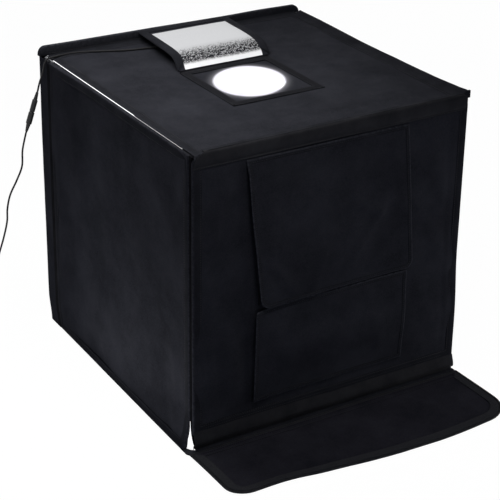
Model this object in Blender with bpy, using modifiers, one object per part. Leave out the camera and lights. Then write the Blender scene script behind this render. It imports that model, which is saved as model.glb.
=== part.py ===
"""Light tent cube: a folding photo box of fabric-covered boards, in metres, +Z up.

The origin is the middle of the floor's underside and the front door faces -Y. Each wall is a
stiff board between a black fabric cover and a silver liner, held by a bound edge. The camera
port in the top has a flap that folds back over the ridge of the back panel. The door hangs from
the top's front edge and carries two window flaps, and a closure flap lies in front of it.
"""
import math

import bmesh
import bpy
from mathutils import Matrix, Vector

MM = 0.001

# Overall sizes of the cube
WIDTH = 508 * MM
DEPTH = 508 * MM
TOP_FACE = 502 * MM
DOOR_RISE = 6 * MM
DOOR_TOP = TOP_FACE + DOOR_RISE
RIDGE_RISE = 11 * MM
RIDGE_TOP = TOP_FACE + RIDGE_RISE

# Clearance between pieces that touch, the overlap of joined forms, and the weld distance
SEAT = 0.3 * MM
OVERRUN = 2 * MM
WELD = 0.03 * MM

# Build-up of a panel, and the bound edge that holds it
COVER = 0.9 * MM
BOARD = 3.0 * MM
LINER = 0.5 * MM
PROUD = 0.3 * MM
BINDING_WIDTH = 16 * MM
BINDING_CORNER = 3 * MM
BINDING_SOFTENING = 0.6 * MM
PLAIN_PANEL = COVER + BOARD + LINER + 2 * SEAT
PANEL = PLAIN_PANEL + 2 * PROUD

# Inner faces that the panels share
SIDE_INNER = WIDTH / 2 - PANEL
DOOR_INNER = -DEPTH / 2 + PANEL
BACK_INNER = DEPTH / 2 - PLAIN_PANEL

# Back panel with its corner returns and its ridge
CORNER_RETURN = 35 * MM
CORNER_RADIUS = 6 * MM
BACK_BOTTOM = 0.5 * MM
BACK_RISE = 1 * MM
BACK_TOP = TOP_FACE + BACK_RISE
RIDGE_THICKNESS = 7 * MM
RIDGE_CORNER = 8 * MM
RIDGE_SOFTENING = 1.8 * MM
RETURN_FRONT = DEPTH / 2 - CORNER_RETURN

# Side walls, each on a fabric seam at its rear edge
WALL_BOTTOM = 1.0 * MM
WALL_RISE = 1 * MM
WALL_TOP = TOP_FACE + WALL_RISE
WALL_SEAM = 0.6 * MM
WALL_REAR = RETURN_FRONT - WALL_SEAM
WALL_FRONT = DOOR_INNER + SEAT

# Top panel, its camera port and the light slit along each side
SIDE_SLIT = 2.4 * MM
TOP_HALF_WIDTH = SIDE_INNER - SIDE_SLIT
TOP_FRONT = DOOR_INNER + SEAT
TOP_REAR = BACK_INNER - SEAT
TOP_COVER_FACE = TOP_FACE - PROUD
PORT_X = -8 * MM
PORT_Y = -18 * MM
PORT_RADIUS = 62 * MM
PORT_TAPE_WIDTH = 15 * MM
PORT_TAPE_X = 172 * MM
PORT_TAPE_Y = 174 * MM
PORT_TAPE = 1.0 * MM
PORT_TAPE_TOP = TOP_COVER_FACE + SEAT + PORT_TAPE

# Port flap: a fold at the root and a panel that rests on the ridge
FLAP_COVER = 1.0 * MM
FLAP_SILVER = 0.5 * MM
FLAP_TAPE = 0.8 * MM
FLAP_BORDER = 13 * MM
FLAP_CORNER = 4 * MM
FOLD_LENGTH = 27 * MM
FOLD_GAP = 0.4 * MM
FOLD_ANGLE = math.radians(40.6)
FOLD_SETBACK = 4 * MM
FOLD_THICKNESS = FLAP_COVER + SEAT + FLAP_SILVER
FLAP_END_SETBACK = 2 * MM

# Door with its two windows, header band and hem
DOOR_BOARD_BOTTOM = 28 * MM
DOOR_CORNER = 19 * MM
DOOR_FOOT_BINDING = 9 * MM
WINDOW_HALF_WIDTH = 124 * MM
WINDOW_CORNER = 10 * MM
HEADER_HEIGHT = 19 * MM
HEADER_THICKNESS = 1.6 * MM
HEADER_TAB = 8 * MM
HEADER_TAB_HEIGHT = 11 * MM
HEM_ROLL_REACH = 4 * MM
HEM_ROLL_HEIGHT = 11.5 * MM
HEM_SKIRT = 1.2 * MM
HEM_SKIRT_BOTTOM = 3.6 * MM
HEM_END_GAP = 2 * MM

# Window flaps on the door
WINDOW_FLAP = 1.3 * MM
WINDOW_TAPE = 0.6 * MM
WINDOW_TAPE_WIDTH = 12 * MM
WINDOW_TAPE_INSET = 3 * MM
WINDOW_BEAD = 1.0 * MM
WINDOW_FLAP_CORNER = 14 * MM
UPPER_FLAP_LAP = 24 * MM
UPPER_FLAP_HALF_WIDTH = WINDOW_HALF_WIDTH + UPPER_FLAP_LAP
UPPER_FLAP_DROP = 8 * MM
UPPER_FLAP_TOP = DOOR_TOP - HEADER_HEIGHT - UPPER_FLAP_DROP
UPPER_FLAP_HEIGHT = 255 * MM
UPPER_FLAP_BOTTOM = UPPER_FLAP_TOP - UPPER_FLAP_HEIGHT
UPPER_FLAP_BILLOW = 9 * MM
UPPER_FLAP_SHIFT = 12 * MM
UPPER_FLAP_LEAN = 22 * MM
BILLOW_SIDE_SHARES = (0.15, 0.85)
BILLOW_POWER_SHARE = 1.6
LOWER_FLAP_LAP = 22 * MM
LOWER_FLAP_HALF_WIDTH = WINDOW_HALF_WIDTH + LOWER_FLAP_LAP
LOWER_FLAP_BOTTOM = 60 * MM
FLAP_PARTING = 2.5 * MM
LOWER_FLAP_TOP = UPPER_FLAP_BOTTOM - FLAP_PARTING
FLAP_HINGE_GAP = 0.5 * MM

# Windows behind the flaps, with a crossbar between them
HINGE_SIDE_LAP = 16.5 * MM
CROSSBAR_HALF = 21 * MM
UPPER_WINDOW_BOTTOM = UPPER_FLAP_BOTTOM + CROSSBAR_HALF
UPPER_WINDOW_TOP = UPPER_FLAP_TOP - HINGE_SIDE_LAP
LOWER_WINDOW_BOTTOM = LOWER_FLAP_BOTTOM + HINGE_SIDE_LAP
LOWER_WINDOW_TOP = LOWER_FLAP_TOP - CROSSBAR_HALF

# Front apron and closure flap on the table
APRON_REACH = 8 * MM
APRON_THICKNESS = 2.6 * MM
CLOSURE_FLAP = 2.0 * MM
CLOSURE_LIFT = 0.5 * MM
CLOSURE_OVERHANG = 8 * MM
CLOSURE_HALF_WIDTH = WIDTH / 2 + CLOSURE_OVERHANG
CLOSURE_LEFT_REACH = 140 * MM
CLOSURE_RIGHT_REACH = 188 * MM
CLOSURE_LEFT_RADIUS = 42 * MM
CLOSURE_RIGHT_RADIUS = 80 * MM
CLOSURE_BEAD = 1.1 * MM
CLOSURE_BAND = 0.6 * MM
CLOSURE_BAND_WIDTH = 14 * MM
CLOSURE_BAND_INSET = 3 * MM

# Light bars under the top
LIGHT_INSET = 18 * MM
LIGHT_OFFSET = TOP_HALF_WIDTH - LIGHT_INSET
LIGHT_HALF_LENGTH = 200 * MM
LIGHT_WIDTH = 24 * MM
LIGHT_HEIGHT = 10 * MM
LIGHT_WALL = 1.2 * MM
DIFFUSER_SEAT = 3 * MM
DIFFUSER_DROP = 4 * MM

# White backdrop sheet
BACKDROP = 0.8 * MM
BACKDROP_HALF_WIDTH = 225 * MM
BACKDROP_DROP = 32 * MM
BACKDROP_TOP = TOP_FACE - BACKDROP_DROP
BACKDROP_RADIUS = 110 * MM
BACKDROP_SETBACK = 43 * MM
BACKDROP_FRONT = DOOR_INNER + BACKDROP_SETBACK

# Lead, gland and power connectors
CORD_RADIUS = 1.6 * MM
GLAND_FROM_PORT = 38 * MM
GLAND_X = PORT_X - GLAND_FROM_PORT
GLAND_FROM_REAR = 66 * MM
GLAND_Y = DEPTH / 2 - GLAND_FROM_REAR
GLAND_LENGTH = 18 * MM
GLAND_WIDTH = 14 * MM
GLAND_HEIGHT = 9 * MM
GLAND_SOFTENING = 1.5 * MM
GLAND_TURN = math.radians(-18)
BOOT_LENGTH = 16 * MM
BOOT_ROOT = 3.4 * MM
BOOT_TIP = 2.2 * MM
SOCKET_TOP = Vector((-272.5 * MM, 240.5 * MM, 446 * MM))
PLUG_END = Vector((-295.5 * MM, 241 * MM, 380 * MM))
CONNECTOR_BOOT = 13 * MM
SOCKET_RADIUS = 4.6 * MM
PLUG_RADIUS = 5.0 * MM
CONNECTOR_STEP = 1.2 * MM

# Coil of the adapter's lead, and the wall adapter
COIL_X = -428 * MM
COIL_Y = 258 * MM
COIL_MEAN_RADIUS = 19.2 * MM
COIL_TURN_GAP = 0.7 * MM
COIL_PITCH = 2 * CORD_RADIUS + COIL_TURN_GAP
COIL_LAYER_GAP = 0.6 * MM
COIL_LAYER = 2 * CORD_RADIUS + COIL_LAYER_GAP
COIL_LIFT = 0.05 * MM
COIL_REST = CORD_RADIUS + COIL_LIFT
COIL_TAIL = 19 * MM
COIL_TURNS = 7.25
COIL_REVERSAL_SHARE = 0.15
COIL_CLIMB_SHARE = 0.5
ADAPTER_WIDTH = 42 * MM
ADAPTER_LENGTH = 58 * MM
ADAPTER_HEIGHT = 28 * MM
ADAPTER_SOFTENING = 3 * MM
ADAPTER_BOOT = 12 * MM
BLADE_SPACING = 12.7 * MM
BLADE_WIDTH = 6.3 * MM
BLADE_THICKNESS = 1.5 * MM
BLADE_LENGTH = 16 * MM

# Routes of the free stretches, chosen by hand: from the gland's boot over the top and down to
# the socket, and from the plug past the tent's side to the coil on the table
LEAD_ROUTE = [
    (-80, 200, 504.6), (-93, 206.5, 503.9), (-120, 218, 503.7), (-155, 228.5, 503.7),
    (-195, 235.5, 503.7), (-226, 238, 504.6), (-241, 238.5, 505.8), (-250, 238.7, 505.9),
    (-257.5, 239, 503.4), (-262.3, 239.2, 497.5), (-264.6, 239.4, 489), (-266.8, 239.8, 470),
]
SUPPLY_ROUTE = [
    (-304.5, 241, 347), (-307, 241, 318), (-318, 241, 294), (-332, 240, 270), (-339, 239, 246),
    (-341, 239, 222), (-349, 239, 193), (-358, 240, 166), (-368, 240, 134), (-377, 239, 98),
    (-385, 238, 62), (-393, 237, 30), (-402, 235.5, 10), (-412, 234, 3),
]

# Counts
CORNER_STEPS = 5
CIRCLE_STEPS = 40
TURN_STEPS = 16
COIL_STEPS = 24
CORD_SPACING_SHARE = 2.5
BILLOW_COLUMN_STEPS = 12
BILLOW_ROW_STEPS = 10
ROUTE_STEPS = 24


class Finish:
    """Colour, roughness and metallic value of a material."""

    def __init__(self, colour, roughness, metallic=0.0):
        self.colour = colour
        self.roughness = roughness
        self.metallic = metallic


FABRIC = Finish((0.012, 0.013, 0.016), 0.72)
BINDING = Finish((0.008, 0.008, 0.010), 0.60)
STIFFENER = Finish((0.30, 0.30, 0.31), 0.55)
SILVER = Finish((0.75, 0.76, 0.78), 0.28, 0.9)
LOOP_TAPE = Finish((0.006, 0.006, 0.007), 0.95)
WHITE_SHEET = Finish((0.90, 0.90, 0.90), 0.60)
ALUMINIUM = Finish((0.62, 0.63, 0.65), 0.35, 1.0)
DIFFUSER = Finish((0.95, 0.95, 0.95), 0.40)
RUBBER = Finish((0.010, 0.010, 0.011), 0.50)
PLASTIC = Finish((0.014, 0.014, 0.015), 0.35)


def clear_scene():
    """Removes the objects that the scene starts with."""
    for item in list(bpy.data.objects):
        bpy.data.objects.remove(item, do_unlink=True)


def collection(name):
    """Makes a collection in the scene."""
    group = bpy.data.collections.new(name)
    bpy.context.scene.collection.children.link(group)
    return group


def paint(item, finish):
    """Gives an object a material of its own."""
    material = bpy.data.materials.new(item.name + "_finish")
    material.use_nodes = True
    shader = material.node_tree.nodes["Principled BSDF"]
    shader.inputs["Base Color"].default_value = (*finish.colour, 1.0)
    shader.inputs["Roughness"].default_value = finish.roughness
    shader.inputs["Metallic"].default_value = finish.metallic
    item.data.materials.append(material)


def add(item, finish, group, hinge=None):
    """Links an object, paints it and hangs it on its hinge's empty."""
    group.objects.link(item)
    paint(item, finish)
    if hinge is not None:
        item.parent = hinge
        item.matrix_parent_inverse = hinge.matrix_world.inverted()
    return item


def hinge_empty(name, place, group):
    """Makes the empty on a joint's axis that a moving piece hangs on."""
    hinge = bpy.data.objects.new(name, None)
    hinge.empty_display_size = CORNER_RETURN
    hinge.location = place
    group.objects.link(hinge)
    bpy.context.view_layer.update()
    return hinge


def frame(origin, across, up):
    """Matrix of a drawing plane from its origin and its two directions."""
    across = Vector(across)
    up = Vector(up)
    columns = Matrix((across, up, across.cross(up))).transposed().to_4x4()
    return Matrix.Translation(Vector(origin)) @ columns


def facing_front():
    """Drawing plane of the door: X across, Z up, its normal towards -Y."""
    return frame((0, 0, 0), (1, 0, 0), (0, 0, 1))


def facing_right():
    """Drawing plane of a side wall: Y across, Z up, its normal towards +X."""
    return frame((0, 0, 0), (0, 1, 0), (0, 0, 1))


def facing_up():
    """Drawing plane of the top: X across, Y up, its normal towards +Z."""
    return frame((0, 0, 0), (1, 0, 0), (0, 1, 0))


def arc(centre, radius, start, end, steps):
    """Points of an arc, from one angle to the other."""
    points = []
    for step in range(steps + 1):
        angle = start + (end - start) * step / steps
        points.append((centre[0] + radius * math.cos(angle), centre[1] + radius * math.sin(angle)))
    return points


def rounded(left, right, bottom, top, radii):
    """Rectangle with its corners rounded: lower left, lower right, upper right, upper left."""
    quarter = math.pi / 2
    corners = [
        (left, bottom, 1, 1, 2 * quarter),
        (right, bottom, -1, 1, 3 * quarter),
        (right, top, -1, -1, 0.0),
        (left, top, 1, -1, quarter),
    ]
    points = []
    for (x, y, along, rise, start), radius in zip(corners, radii):
        if radius > 0:
            centre = (x + along * radius, y + rise * radius)
            points += arc(centre, radius, start, start + quarter, CORNER_STEPS)
        else:
            points.append((x, y))
    return points


def even(left, right, bottom, top, radius):
    """Rectangle with four equal round corners."""
    return rounded(left, right, bottom, top, (radius, radius, radius, radius))


def circle(centre, radius, steps):
    """Closed round outline."""
    return arc(centre, radius, 0, 2 * math.pi, steps)[:-1]


def plate(name, plane, span, outline, holes=()):
    """Flat piece: an outline with its holes, filled and given its thickness along the normal."""
    low, high = span
    data = bpy.data.curves.new(name, "CURVE")
    data.dimensions = "2D"
    data.fill_mode = "BOTH"
    data.extrude = (high - low) / 2
    middle_x = (min(p[0] for p in outline) + max(p[0] for p in outline)) / 2
    middle_y = (min(p[1] for p in outline) + max(p[1] for p in outline)) / 2
    for points in (outline, *holes):
        spline = data.splines.new("POLY")
        spline.points.add(len(points) - 1)
        for point, (x, y) in zip(spline.points, points):
            point.co = (x - middle_x, y - middle_y, 0, 1)
        spline.use_cyclic_u = True
    item = bpy.data.objects.new(name, data)
    item.matrix_world = plane @ Matrix.Translation((middle_x, middle_y, (low + high) / 2))
    return item


def as_mesh(item, group):
    """Turns a curve object into a mesh object with welded caps, under the same name."""
    name = item.name
    group.objects.link(item)
    bpy.context.view_layer.update()
    depsgraph = bpy.context.evaluated_depsgraph_get()
    data = bpy.data.meshes.new_from_object(item.evaluated_get(depsgraph))
    model = bmesh.new()
    model.from_mesh(data)
    bmesh.ops.remove_doubles(model, verts=model.verts, dist=WELD)
    model.to_mesh(data)
    model.free()
    place = item.matrix_world.copy()
    bpy.data.objects.remove(item, do_unlink=True)
    mesh_item = bpy.data.objects.new(name, data)
    mesh_item.matrix_world = place
    return mesh_item


def soften(item, width, segments=2):
    """Rounds the edges of a mesh object."""
    bevel = item.modifiers.new("Softening", "BEVEL")
    bevel.width = width
    bevel.segments = segments
    bevel.limit_method = "ANGLE"
    return item


def box(name, low, high):
    """Rectangular piece between two corners."""
    low = Vector(low)
    high = Vector(high)
    model = bmesh.new()
    bmesh.ops.create_cube(model, size=1)
    bmesh.ops.scale(model, vec=high - low, verts=model.verts)
    data = bpy.data.meshes.new(name)
    model.to_mesh(data)
    model.free()
    item = bpy.data.objects.new(name, data)
    item.location = (low + high) / 2
    return item


def turned(name, start, towards, profile):
    """Turned piece on the axis from start along towards; profile lists (radius, distance)."""
    data = bpy.data.meshes.new(name)
    model = bmesh.new()
    verts = [model.verts.new((radius, 0, distance)) for radius, distance in profile]
    for first, second in zip(verts, verts[1:]):
        model.edges.new((first, second))
    model.to_mesh(data)
    model.free()
    item = bpy.data.objects.new(name, data)
    item.location = start
    item.rotation_mode = "QUATERNION"
    item.rotation_quaternion = Vector(towards).to_track_quat("Z", "Y")
    screw = item.modifiers.new("Turn", "SCREW")
    screw.axis = "Z"
    screw.steps = TURN_STEPS
    screw.render_steps = TURN_STEPS
    screw.use_merge_vertices = True
    screw.merge_threshold = WELD
    screw.use_smooth_shade = True
    return item


def path_points(route, spacing):
    """Evenly spaced points of a smooth curve through the route's points."""
    dense = []
    padded = [2 * route[0] - route[1], *route, 2 * route[-1] - route[-2]]
    for a, b, c, d in zip(padded, padded[1:], padded[2:], padded[3:]):
        for step in range(ROUTE_STEPS):
            t = step / ROUTE_STEPS
            dense.append(0.5 * ((2 * b) + (c - a) * t + (2 * a - 5 * b + 4 * c - d) * t * t
                                + (3 * b - a - 3 * c + d) * t * t * t))
    dense.append(route[-1])
    lengths = [0.0]
    for first, second in zip(dense, dense[1:]):
        lengths.append(lengths[-1] + (second - first).length)
    count = max(2, round(lengths[-1] / spacing))
    points = []
    index = 0
    for step in range(count + 1):
        target = lengths[-1] * step / count
        while index < len(dense) - 2 and lengths[index + 1] < target:
            index += 1
        stretch = lengths[index + 1] - lengths[index]
        share = (target - lengths[index]) / stretch
        points.append(dense[index].lerp(dense[index + 1], share))
    return points, lengths[-1]


def tube(name, points, radius, resolution, cyclic=False):
    """Round tube along points, as a curve object with filled caps."""
    data = bpy.data.curves.new(name, "CURVE")
    data.dimensions = "3D"
    data.bevel_depth = radius
    data.bevel_resolution = resolution
    data.use_fill_caps = not cyclic
    spline = data.splines.new("POLY")
    spline.points.add(len(points) - 1)
    origin = Vector(points[0])
    for target, point in zip(spline.points, points):
        target.co = (*(Vector(point) - origin), 1)
    spline.use_cyclic_u = cyclic
    item = bpy.data.objects.new(name, data)
    item.location = origin
    return item


def unite(item, others, cutters):
    """Joins other solids to an object with Boolean unions."""
    for other in others:
        cutters.objects.link(other)
        other.hide_render = True
        other.display_type = "WIRE"
        union = item.modifiers.new("Union", "BOOLEAN")
        union.operation = "UNION"
        union.solver = "EXACT"
        union.object = other
    return item


def layers(outer, inward, proud):
    """Spans of cover, board and liner, counted inwards from a panel's outer face."""
    spans = []
    depth = proud
    for thickness in (COVER, BOARD, LINER):
        near = outer + inward * depth
        far = outer + inward * (depth + thickness)
        spans.append((min(near, far), max(near, far)))
        depth += thickness + SEAT
    return spans


def bound_panel(prefix, plane, outer, inward, edges, radii, insets, holes, group, hinge=None):
    """A bound edge with a cover, a board and a liner inside it.

    The edges are left, right, bottom and top; the insets are the widths of the bound edge.
    """
    left, right, bottom, top = edges
    inner = (left + insets[0], right - insets[1], bottom + insets[2], top - insets[3])
    far = outer + inward * PANEL
    ring = plate(prefix + "_binding", plane, (min(outer, far), max(outer, far)),
                 rounded(left, right, bottom, top, radii), [even(*inner, BINDING_CORNER)])
    add(soften(as_mesh(ring, group), BINDING_SOFTENING, 1), BINDING, group, hinge)
    field = even(inner[0] + SEAT, inner[1] - SEAT, inner[2] + SEAT, inner[3] - SEAT,
                 BINDING_CORNER - SEAT)
    kinds = (("cover", FABRIC), ("board", STIFFENER), ("liner", SILVER))
    for (kind, finish), span in zip(kinds, layers(outer, inward, PROUD)):
        add(plate(prefix + "_" + kind, plane, span, field, holes), finish, group, hinge)


def build_floor(group):
    """Floor panel and the front apron that lies on the table."""
    half = SIDE_INNER - SEAT
    front = DOOR_INNER + SEAT
    rear = BACK_INNER - SEAT
    kinds = (("cover", FABRIC), ("board", STIFFENER), ("liner", SILVER))
    for (kind, finish), span in zip(kinds, layers(0, 1, 0)):
        outline = even(-half, half, front, rear, BINDING_CORNER)
        add(plate("floor_" + kind, facing_up(), span, outline), finish, group)
    apron = even(-half, half, apron_front(), front - SEAT, SEAT)
    add(plate("floor_apron", facing_up(), (0, APRON_THICKNESS), apron), FABRIC, group)


def apron_front():
    """Front edge of the apron, where the closure flap is sewn on."""
    return -DEPTH / 2 - APRON_REACH


def channel_outline(half, open_end, back, wall, radius):
    """Plan of a skin that wraps the back: two returns and the rear wall, with round corners."""
    quarter = math.pi / 2
    outer = [(-half, open_end)]
    outer += arc((-half + radius, back - radius), radius, 2 * quarter, quarter, CORNER_STEPS)
    outer += arc((half - radius, back - radius), radius, quarter, 0, CORNER_STEPS)
    outer.append((half, open_end))
    inner_radius = max(radius - wall, SEAT)
    inner_half = half - wall
    inner_back = back - wall
    inner = [(inner_half, open_end)]
    inner += arc((inner_half - inner_radius, inner_back - inner_radius), inner_radius, 0, quarter,
                 CORNER_STEPS)
    inner += arc((-inner_half + inner_radius, inner_back - inner_radius), inner_radius, quarter,
                 2 * quarter, CORNER_STEPS)
    inner.append((-inner_half, open_end))
    return outer + inner


def build_back(group):
    """Back panel with corner returns, and the ridge that stands above the top."""
    half = WIDTH / 2
    rear = DEPTH / 2
    height = (BACK_BOTTOM, BACK_TOP)
    skin = channel_outline(half, RETURN_FRONT, rear, COVER, CORNER_RADIUS)
    add(plate("back_cover", facing_up(), height, skin), FABRIC, group)
    inside = COVER + SEAT + BOARD + SEAT
    lining = channel_outline(half - inside, RETURN_FRONT, rear - inside, LINER, CORNER_RADIUS - inside)
    add(plate("back_liner", facing_up(), height, lining), SILVER, group)
    board_half = half - CORNER_RADIUS
    board = even(-board_half, board_half, BACK_BOTTOM, BACK_TOP, BINDING_CORNER)
    span = layers(rear, -1, 0)[1]
    add(plate("back_board", facing_front(), (-span[1], -span[0]), board), STIFFENER, group)
    for side, word in ((-1, "left"), (1, "right")):
        span = layers(side * half, -side, 0)[1]
        strip = even(RETURN_FRONT, rear - CORNER_RADIUS, BACK_BOTTOM, BACK_TOP, SEAT)
        add(plate("corner_board_" + word, facing_right(), span, strip), STIFFENER, group)
    crown = rounded(-half, half, BACK_TOP + SEAT, RIDGE_TOP, (SEAT, SEAT, RIDGE_CORNER, RIDGE_CORNER))
    ridge = plate("back_ridge", facing_front(), (-rear, -rear + RIDGE_THICKNESS), crown)
    add(soften(as_mesh(ridge, group), RIDGE_SOFTENING, 2), BINDING, group)


def build_top(group):
    """Top panel with the round camera port and its square of tape."""
    port = circle((PORT_X, PORT_Y), PORT_RADIUS, CIRCLE_STEPS)
    edges = (-TOP_HALF_WIDTH, TOP_HALF_WIDTH, TOP_FRONT, TOP_REAR)
    bound_panel("top", facing_up(), TOP_FACE, -1, edges, (BINDING_CORNER,) * 4,
                (BINDING_WIDTH,) * 4, [port], group)
    square = (PORT_X - PORT_TAPE_X / 2, PORT_X + PORT_TAPE_X / 2,
              PORT_Y - PORT_TAPE_Y / 2, PORT_Y + PORT_TAPE_Y / 2)
    inside = (square[0] + PORT_TAPE_WIDTH, square[1] - PORT_TAPE_WIDTH,
              square[2] + PORT_TAPE_WIDTH, square[3] - PORT_TAPE_WIDTH)
    tape = plate("port_tape", facing_up(), (TOP_COVER_FACE + SEAT, PORT_TAPE_TOP),
                 even(*square, BINDING_CORNER), [even(*inside, BINDING_CORNER)])
    add(tape, LOOP_TAPE, group)


class FlapShape:
    """Places of the port flap's fold and panel, worked out from where they rest."""

    def __init__(self):
        along = Vector((0, math.cos(FOLD_ANGLE), math.sin(FOLD_ANGLE)))
        normal = Vector((1, 0, 0)).cross(along)
        clear_cover = TOP_COVER_FACE + SEAT + FOLD_THICKNESS * math.cos(FOLD_ANGLE)
        height = max(PORT_TAPE_TOP + SEAT, clear_cover)
        self.root = Vector((PORT_X, PORT_Y + PORT_TAPE_Y / 2 + FOLD_SETBACK, height))
        self.fold_plane = frame(self.root, (1, 0, 0), along)
        self.crease = self.root - normal * FOLD_THICKNESS + along * (FOLD_LENGTH + FOLD_GAP)
        rest = Vector((PORT_X, DEPTH / 2 - FLAP_END_SETBACK, RIDGE_TOP + SEAT))
        self.length = (rest - self.crease).length
        self.panel_plane = frame(self.crease, (1, 0, 0), (rest - self.crease).normalized())


def build_port_flap(group):
    """Port flap, folded back: its fold rises from the tape and its panel rests on the ridge."""
    shape = FlapShape()
    half = PORT_TAPE_X / 2
    silver_half = half - FLAP_BORDER
    root = hinge_empty("port_fold_axis", shape.root, group)
    crease = hinge_empty("port_flap_axis", shape.crease, group)
    low = -FOLD_THICKNESS
    near, far = SEAT, FOLD_LENGTH
    fold = plate("port_fold_cover", shape.fold_plane, (low, low + FLAP_COVER),
                 even(-half, half, near, far, SEAT))
    add(fold, FABRIC, group, root)
    lining = plate("port_fold_silver", shape.fold_plane, (-FLAP_SILVER, 0),
                   even(-silver_half, silver_half, near, far, SEAT))
    add(lining, SILVER, group, root)
    near = FOLD_GAP
    corners = (SEAT, SEAT, FLAP_CORNER, FLAP_CORNER)
    panel = plate("port_flap_cover", shape.panel_plane, (0, FLAP_COVER),
                  rounded(-half, half, near, shape.length, corners))
    add(panel, FABRIC, group, crease)
    base = FLAP_COVER + SEAT
    inner_top = shape.length - FLAP_BORDER
    face = plate("port_flap_silver", shape.panel_plane, (base, base + FLAP_SILVER),
                 even(-silver_half + SEAT, silver_half - SEAT, near, inner_top - SEAT, SEAT))
    add(face, SILVER, group, crease)
    border = [(-half, near), (-silver_half, near), (-silver_half, inner_top), (silver_half, inner_top),
              (silver_half, near), (half, near)]
    border += arc((half - FLAP_CORNER, shape.length - FLAP_CORNER), FLAP_CORNER, 0, math.pi / 2,
                  CORNER_STEPS)
    border += arc((-half + FLAP_CORNER, shape.length - FLAP_CORNER), FLAP_CORNER, math.pi / 2,
                  math.pi, CORNER_STEPS)
    tape = plate("port_flap_tape", shape.panel_plane, (base, base + FLAP_TAPE), border)
    add(tape, LOOP_TAPE, group, crease)


def build_side_walls(group):
    """Left and right walls, each on the seam of its corner return."""
    for side, word in ((-1, "left"), (1, "right")):
        outer = side * WIDTH / 2
        seam = Vector((outer, WALL_REAR + WALL_SEAM / 2, (WALL_BOTTOM + WALL_TOP) / 2))
        hinge = hinge_empty(word + "_wall_axis", seam, group)
        edges = (WALL_FRONT, WALL_REAR, WALL_BOTTOM, WALL_TOP)
        bound_panel(word + "_wall", facing_right(), outer, -side, edges, (BINDING_CORNER,) * 4,
                    (BINDING_WIDTH,) * 4, [], group, hinge)


def header_outline():
    """Header band across the door's upper edge, with the small tab at its right end."""
    half = WIDTH / 2
    bottom = DOOR_TOP - HEADER_HEIGHT
    tab_bottom = DOOR_TOP - HEADER_TAB_HEIGHT
    tab_end = half + HEADER_TAB
    points = [(-half, bottom), (half, bottom), (half, tab_bottom)]
    quarter = math.pi / 2
    corner = BINDING_CORNER
    points += arc((tab_end - corner, tab_bottom + corner), corner, -quarter, 0, CORNER_STEPS)
    points += arc((tab_end - corner, DOOR_TOP - corner), corner, 0, quarter, CORNER_STEPS)
    points += arc((-half + DOOR_CORNER, DOOR_TOP - DOOR_CORNER), DOOR_CORNER, quarter, 2 * quarter,
                  CORNER_STEPS)
    return points[:-1]


def hem_outline():
    """Section of the door's hem: a rounded roll on the outside and a thin skirt below it."""
    outer = -DEPTH / 2
    top = DOOR_BOARD_BOTTOM - SEAT
    roll_bottom = top - HEM_ROLL_HEIGHT
    middle = (top + roll_bottom) / 2
    half = HEM_ROLL_HEIGHT / 2
    points = []
    steps = 2 * CORNER_STEPS
    for step in range(steps + 1):
        angle = math.pi / 2 + math.pi * step / steps
        points.append((outer + HEM_ROLL_REACH * math.cos(angle), middle + half * math.sin(angle)))
    skirt = outer + HEM_SKIRT / 2
    points.append((skirt, roll_bottom - HEM_SKIRT))
    points.append((skirt, HEM_SKIRT_BOTTOM))
    points.append((skirt + HEM_SKIRT, HEM_SKIRT_BOTTOM))
    points.append((skirt + HEM_SKIRT, roll_bottom - HEM_SKIRT))
    points.append((DOOR_INNER, roll_bottom + HEM_SKIRT))
    points.append((DOOR_INNER, top))
    return points


def build_door(group):
    """Front door: bound panel with two windows, header band and hem."""
    outer = -DEPTH / 2
    hinge = hinge_empty("door_axis", (0, outer, DOOR_TOP), group)
    windows = [
        even(-WINDOW_HALF_WIDTH, WINDOW_HALF_WIDTH, UPPER_WINDOW_BOTTOM, UPPER_WINDOW_TOP,
             WINDOW_CORNER),
        even(-WINDOW_HALF_WIDTH, WINDOW_HALF_WIDTH, LOWER_WINDOW_BOTTOM, LOWER_WINDOW_TOP,
             WINDOW_CORNER),
    ]
    edges = (-WIDTH / 2, WIDTH / 2, DOOR_BOARD_BOTTOM, DOOR_TOP)
    radii = (BINDING_CORNER, BINDING_CORNER, DOOR_CORNER, DOOR_CORNER)
    insets = (BINDING_WIDTH, BINDING_WIDTH, DOOR_FOOT_BINDING, BINDING_WIDTH)
    bound_panel("door", facing_front(), -outer, -1, edges, radii, insets, windows, group, hinge)
    face = -outer + SEAT
    header = plate("door_header", facing_front(), (face, face + HEADER_THICKNESS), header_outline())
    add(header, BINDING, group, hinge)
    half = WIDTH / 2 - HEM_END_GAP
    add(plate("door_hem", facing_right(), (-half, half), hem_outline()), FABRIC, group, hinge)
    return hinge


def flap_inner_face():
    """Distance in front of the origin at which the window flaps' inner faces lie."""
    return DEPTH / 2 - PROUD + SEAT + WINDOW_TAPE + SEAT


def billow(across, rise):
    """How far the hanging flap stands out, most at its lower left corner; both are shares."""
    least, more = BILLOW_SIDE_SHARES
    return UPPER_FLAP_BILLOW * (least + more * (1 - across)) * (1 - rise) ** BILLOW_POWER_SHARE


def lean(rise):
    """How far to the right the askew flap hangs at a share of its height."""
    return UPPER_FLAP_LEAN * (1 - rise) - UPPER_FLAP_SHIFT


def disc_share(first, second):
    """Moves a point of a unit square's corner cell onto a unit disc's quarter."""
    return first * math.sqrt(1 - second * second / 2), second * math.sqrt(1 - first * first / 2)


def grid_place(share, length, corner, count):
    """Row positions of a grid whose end cells cover the round corners."""
    rows = [0.0, corner / 2, corner]
    inner = count - 4
    for step in range(1, inner):
        rows.append(corner + (length - 2 * corner) * step / inner)
    rows += [length - corner, length - corner / 2, length]
    return rows[share]


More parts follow.
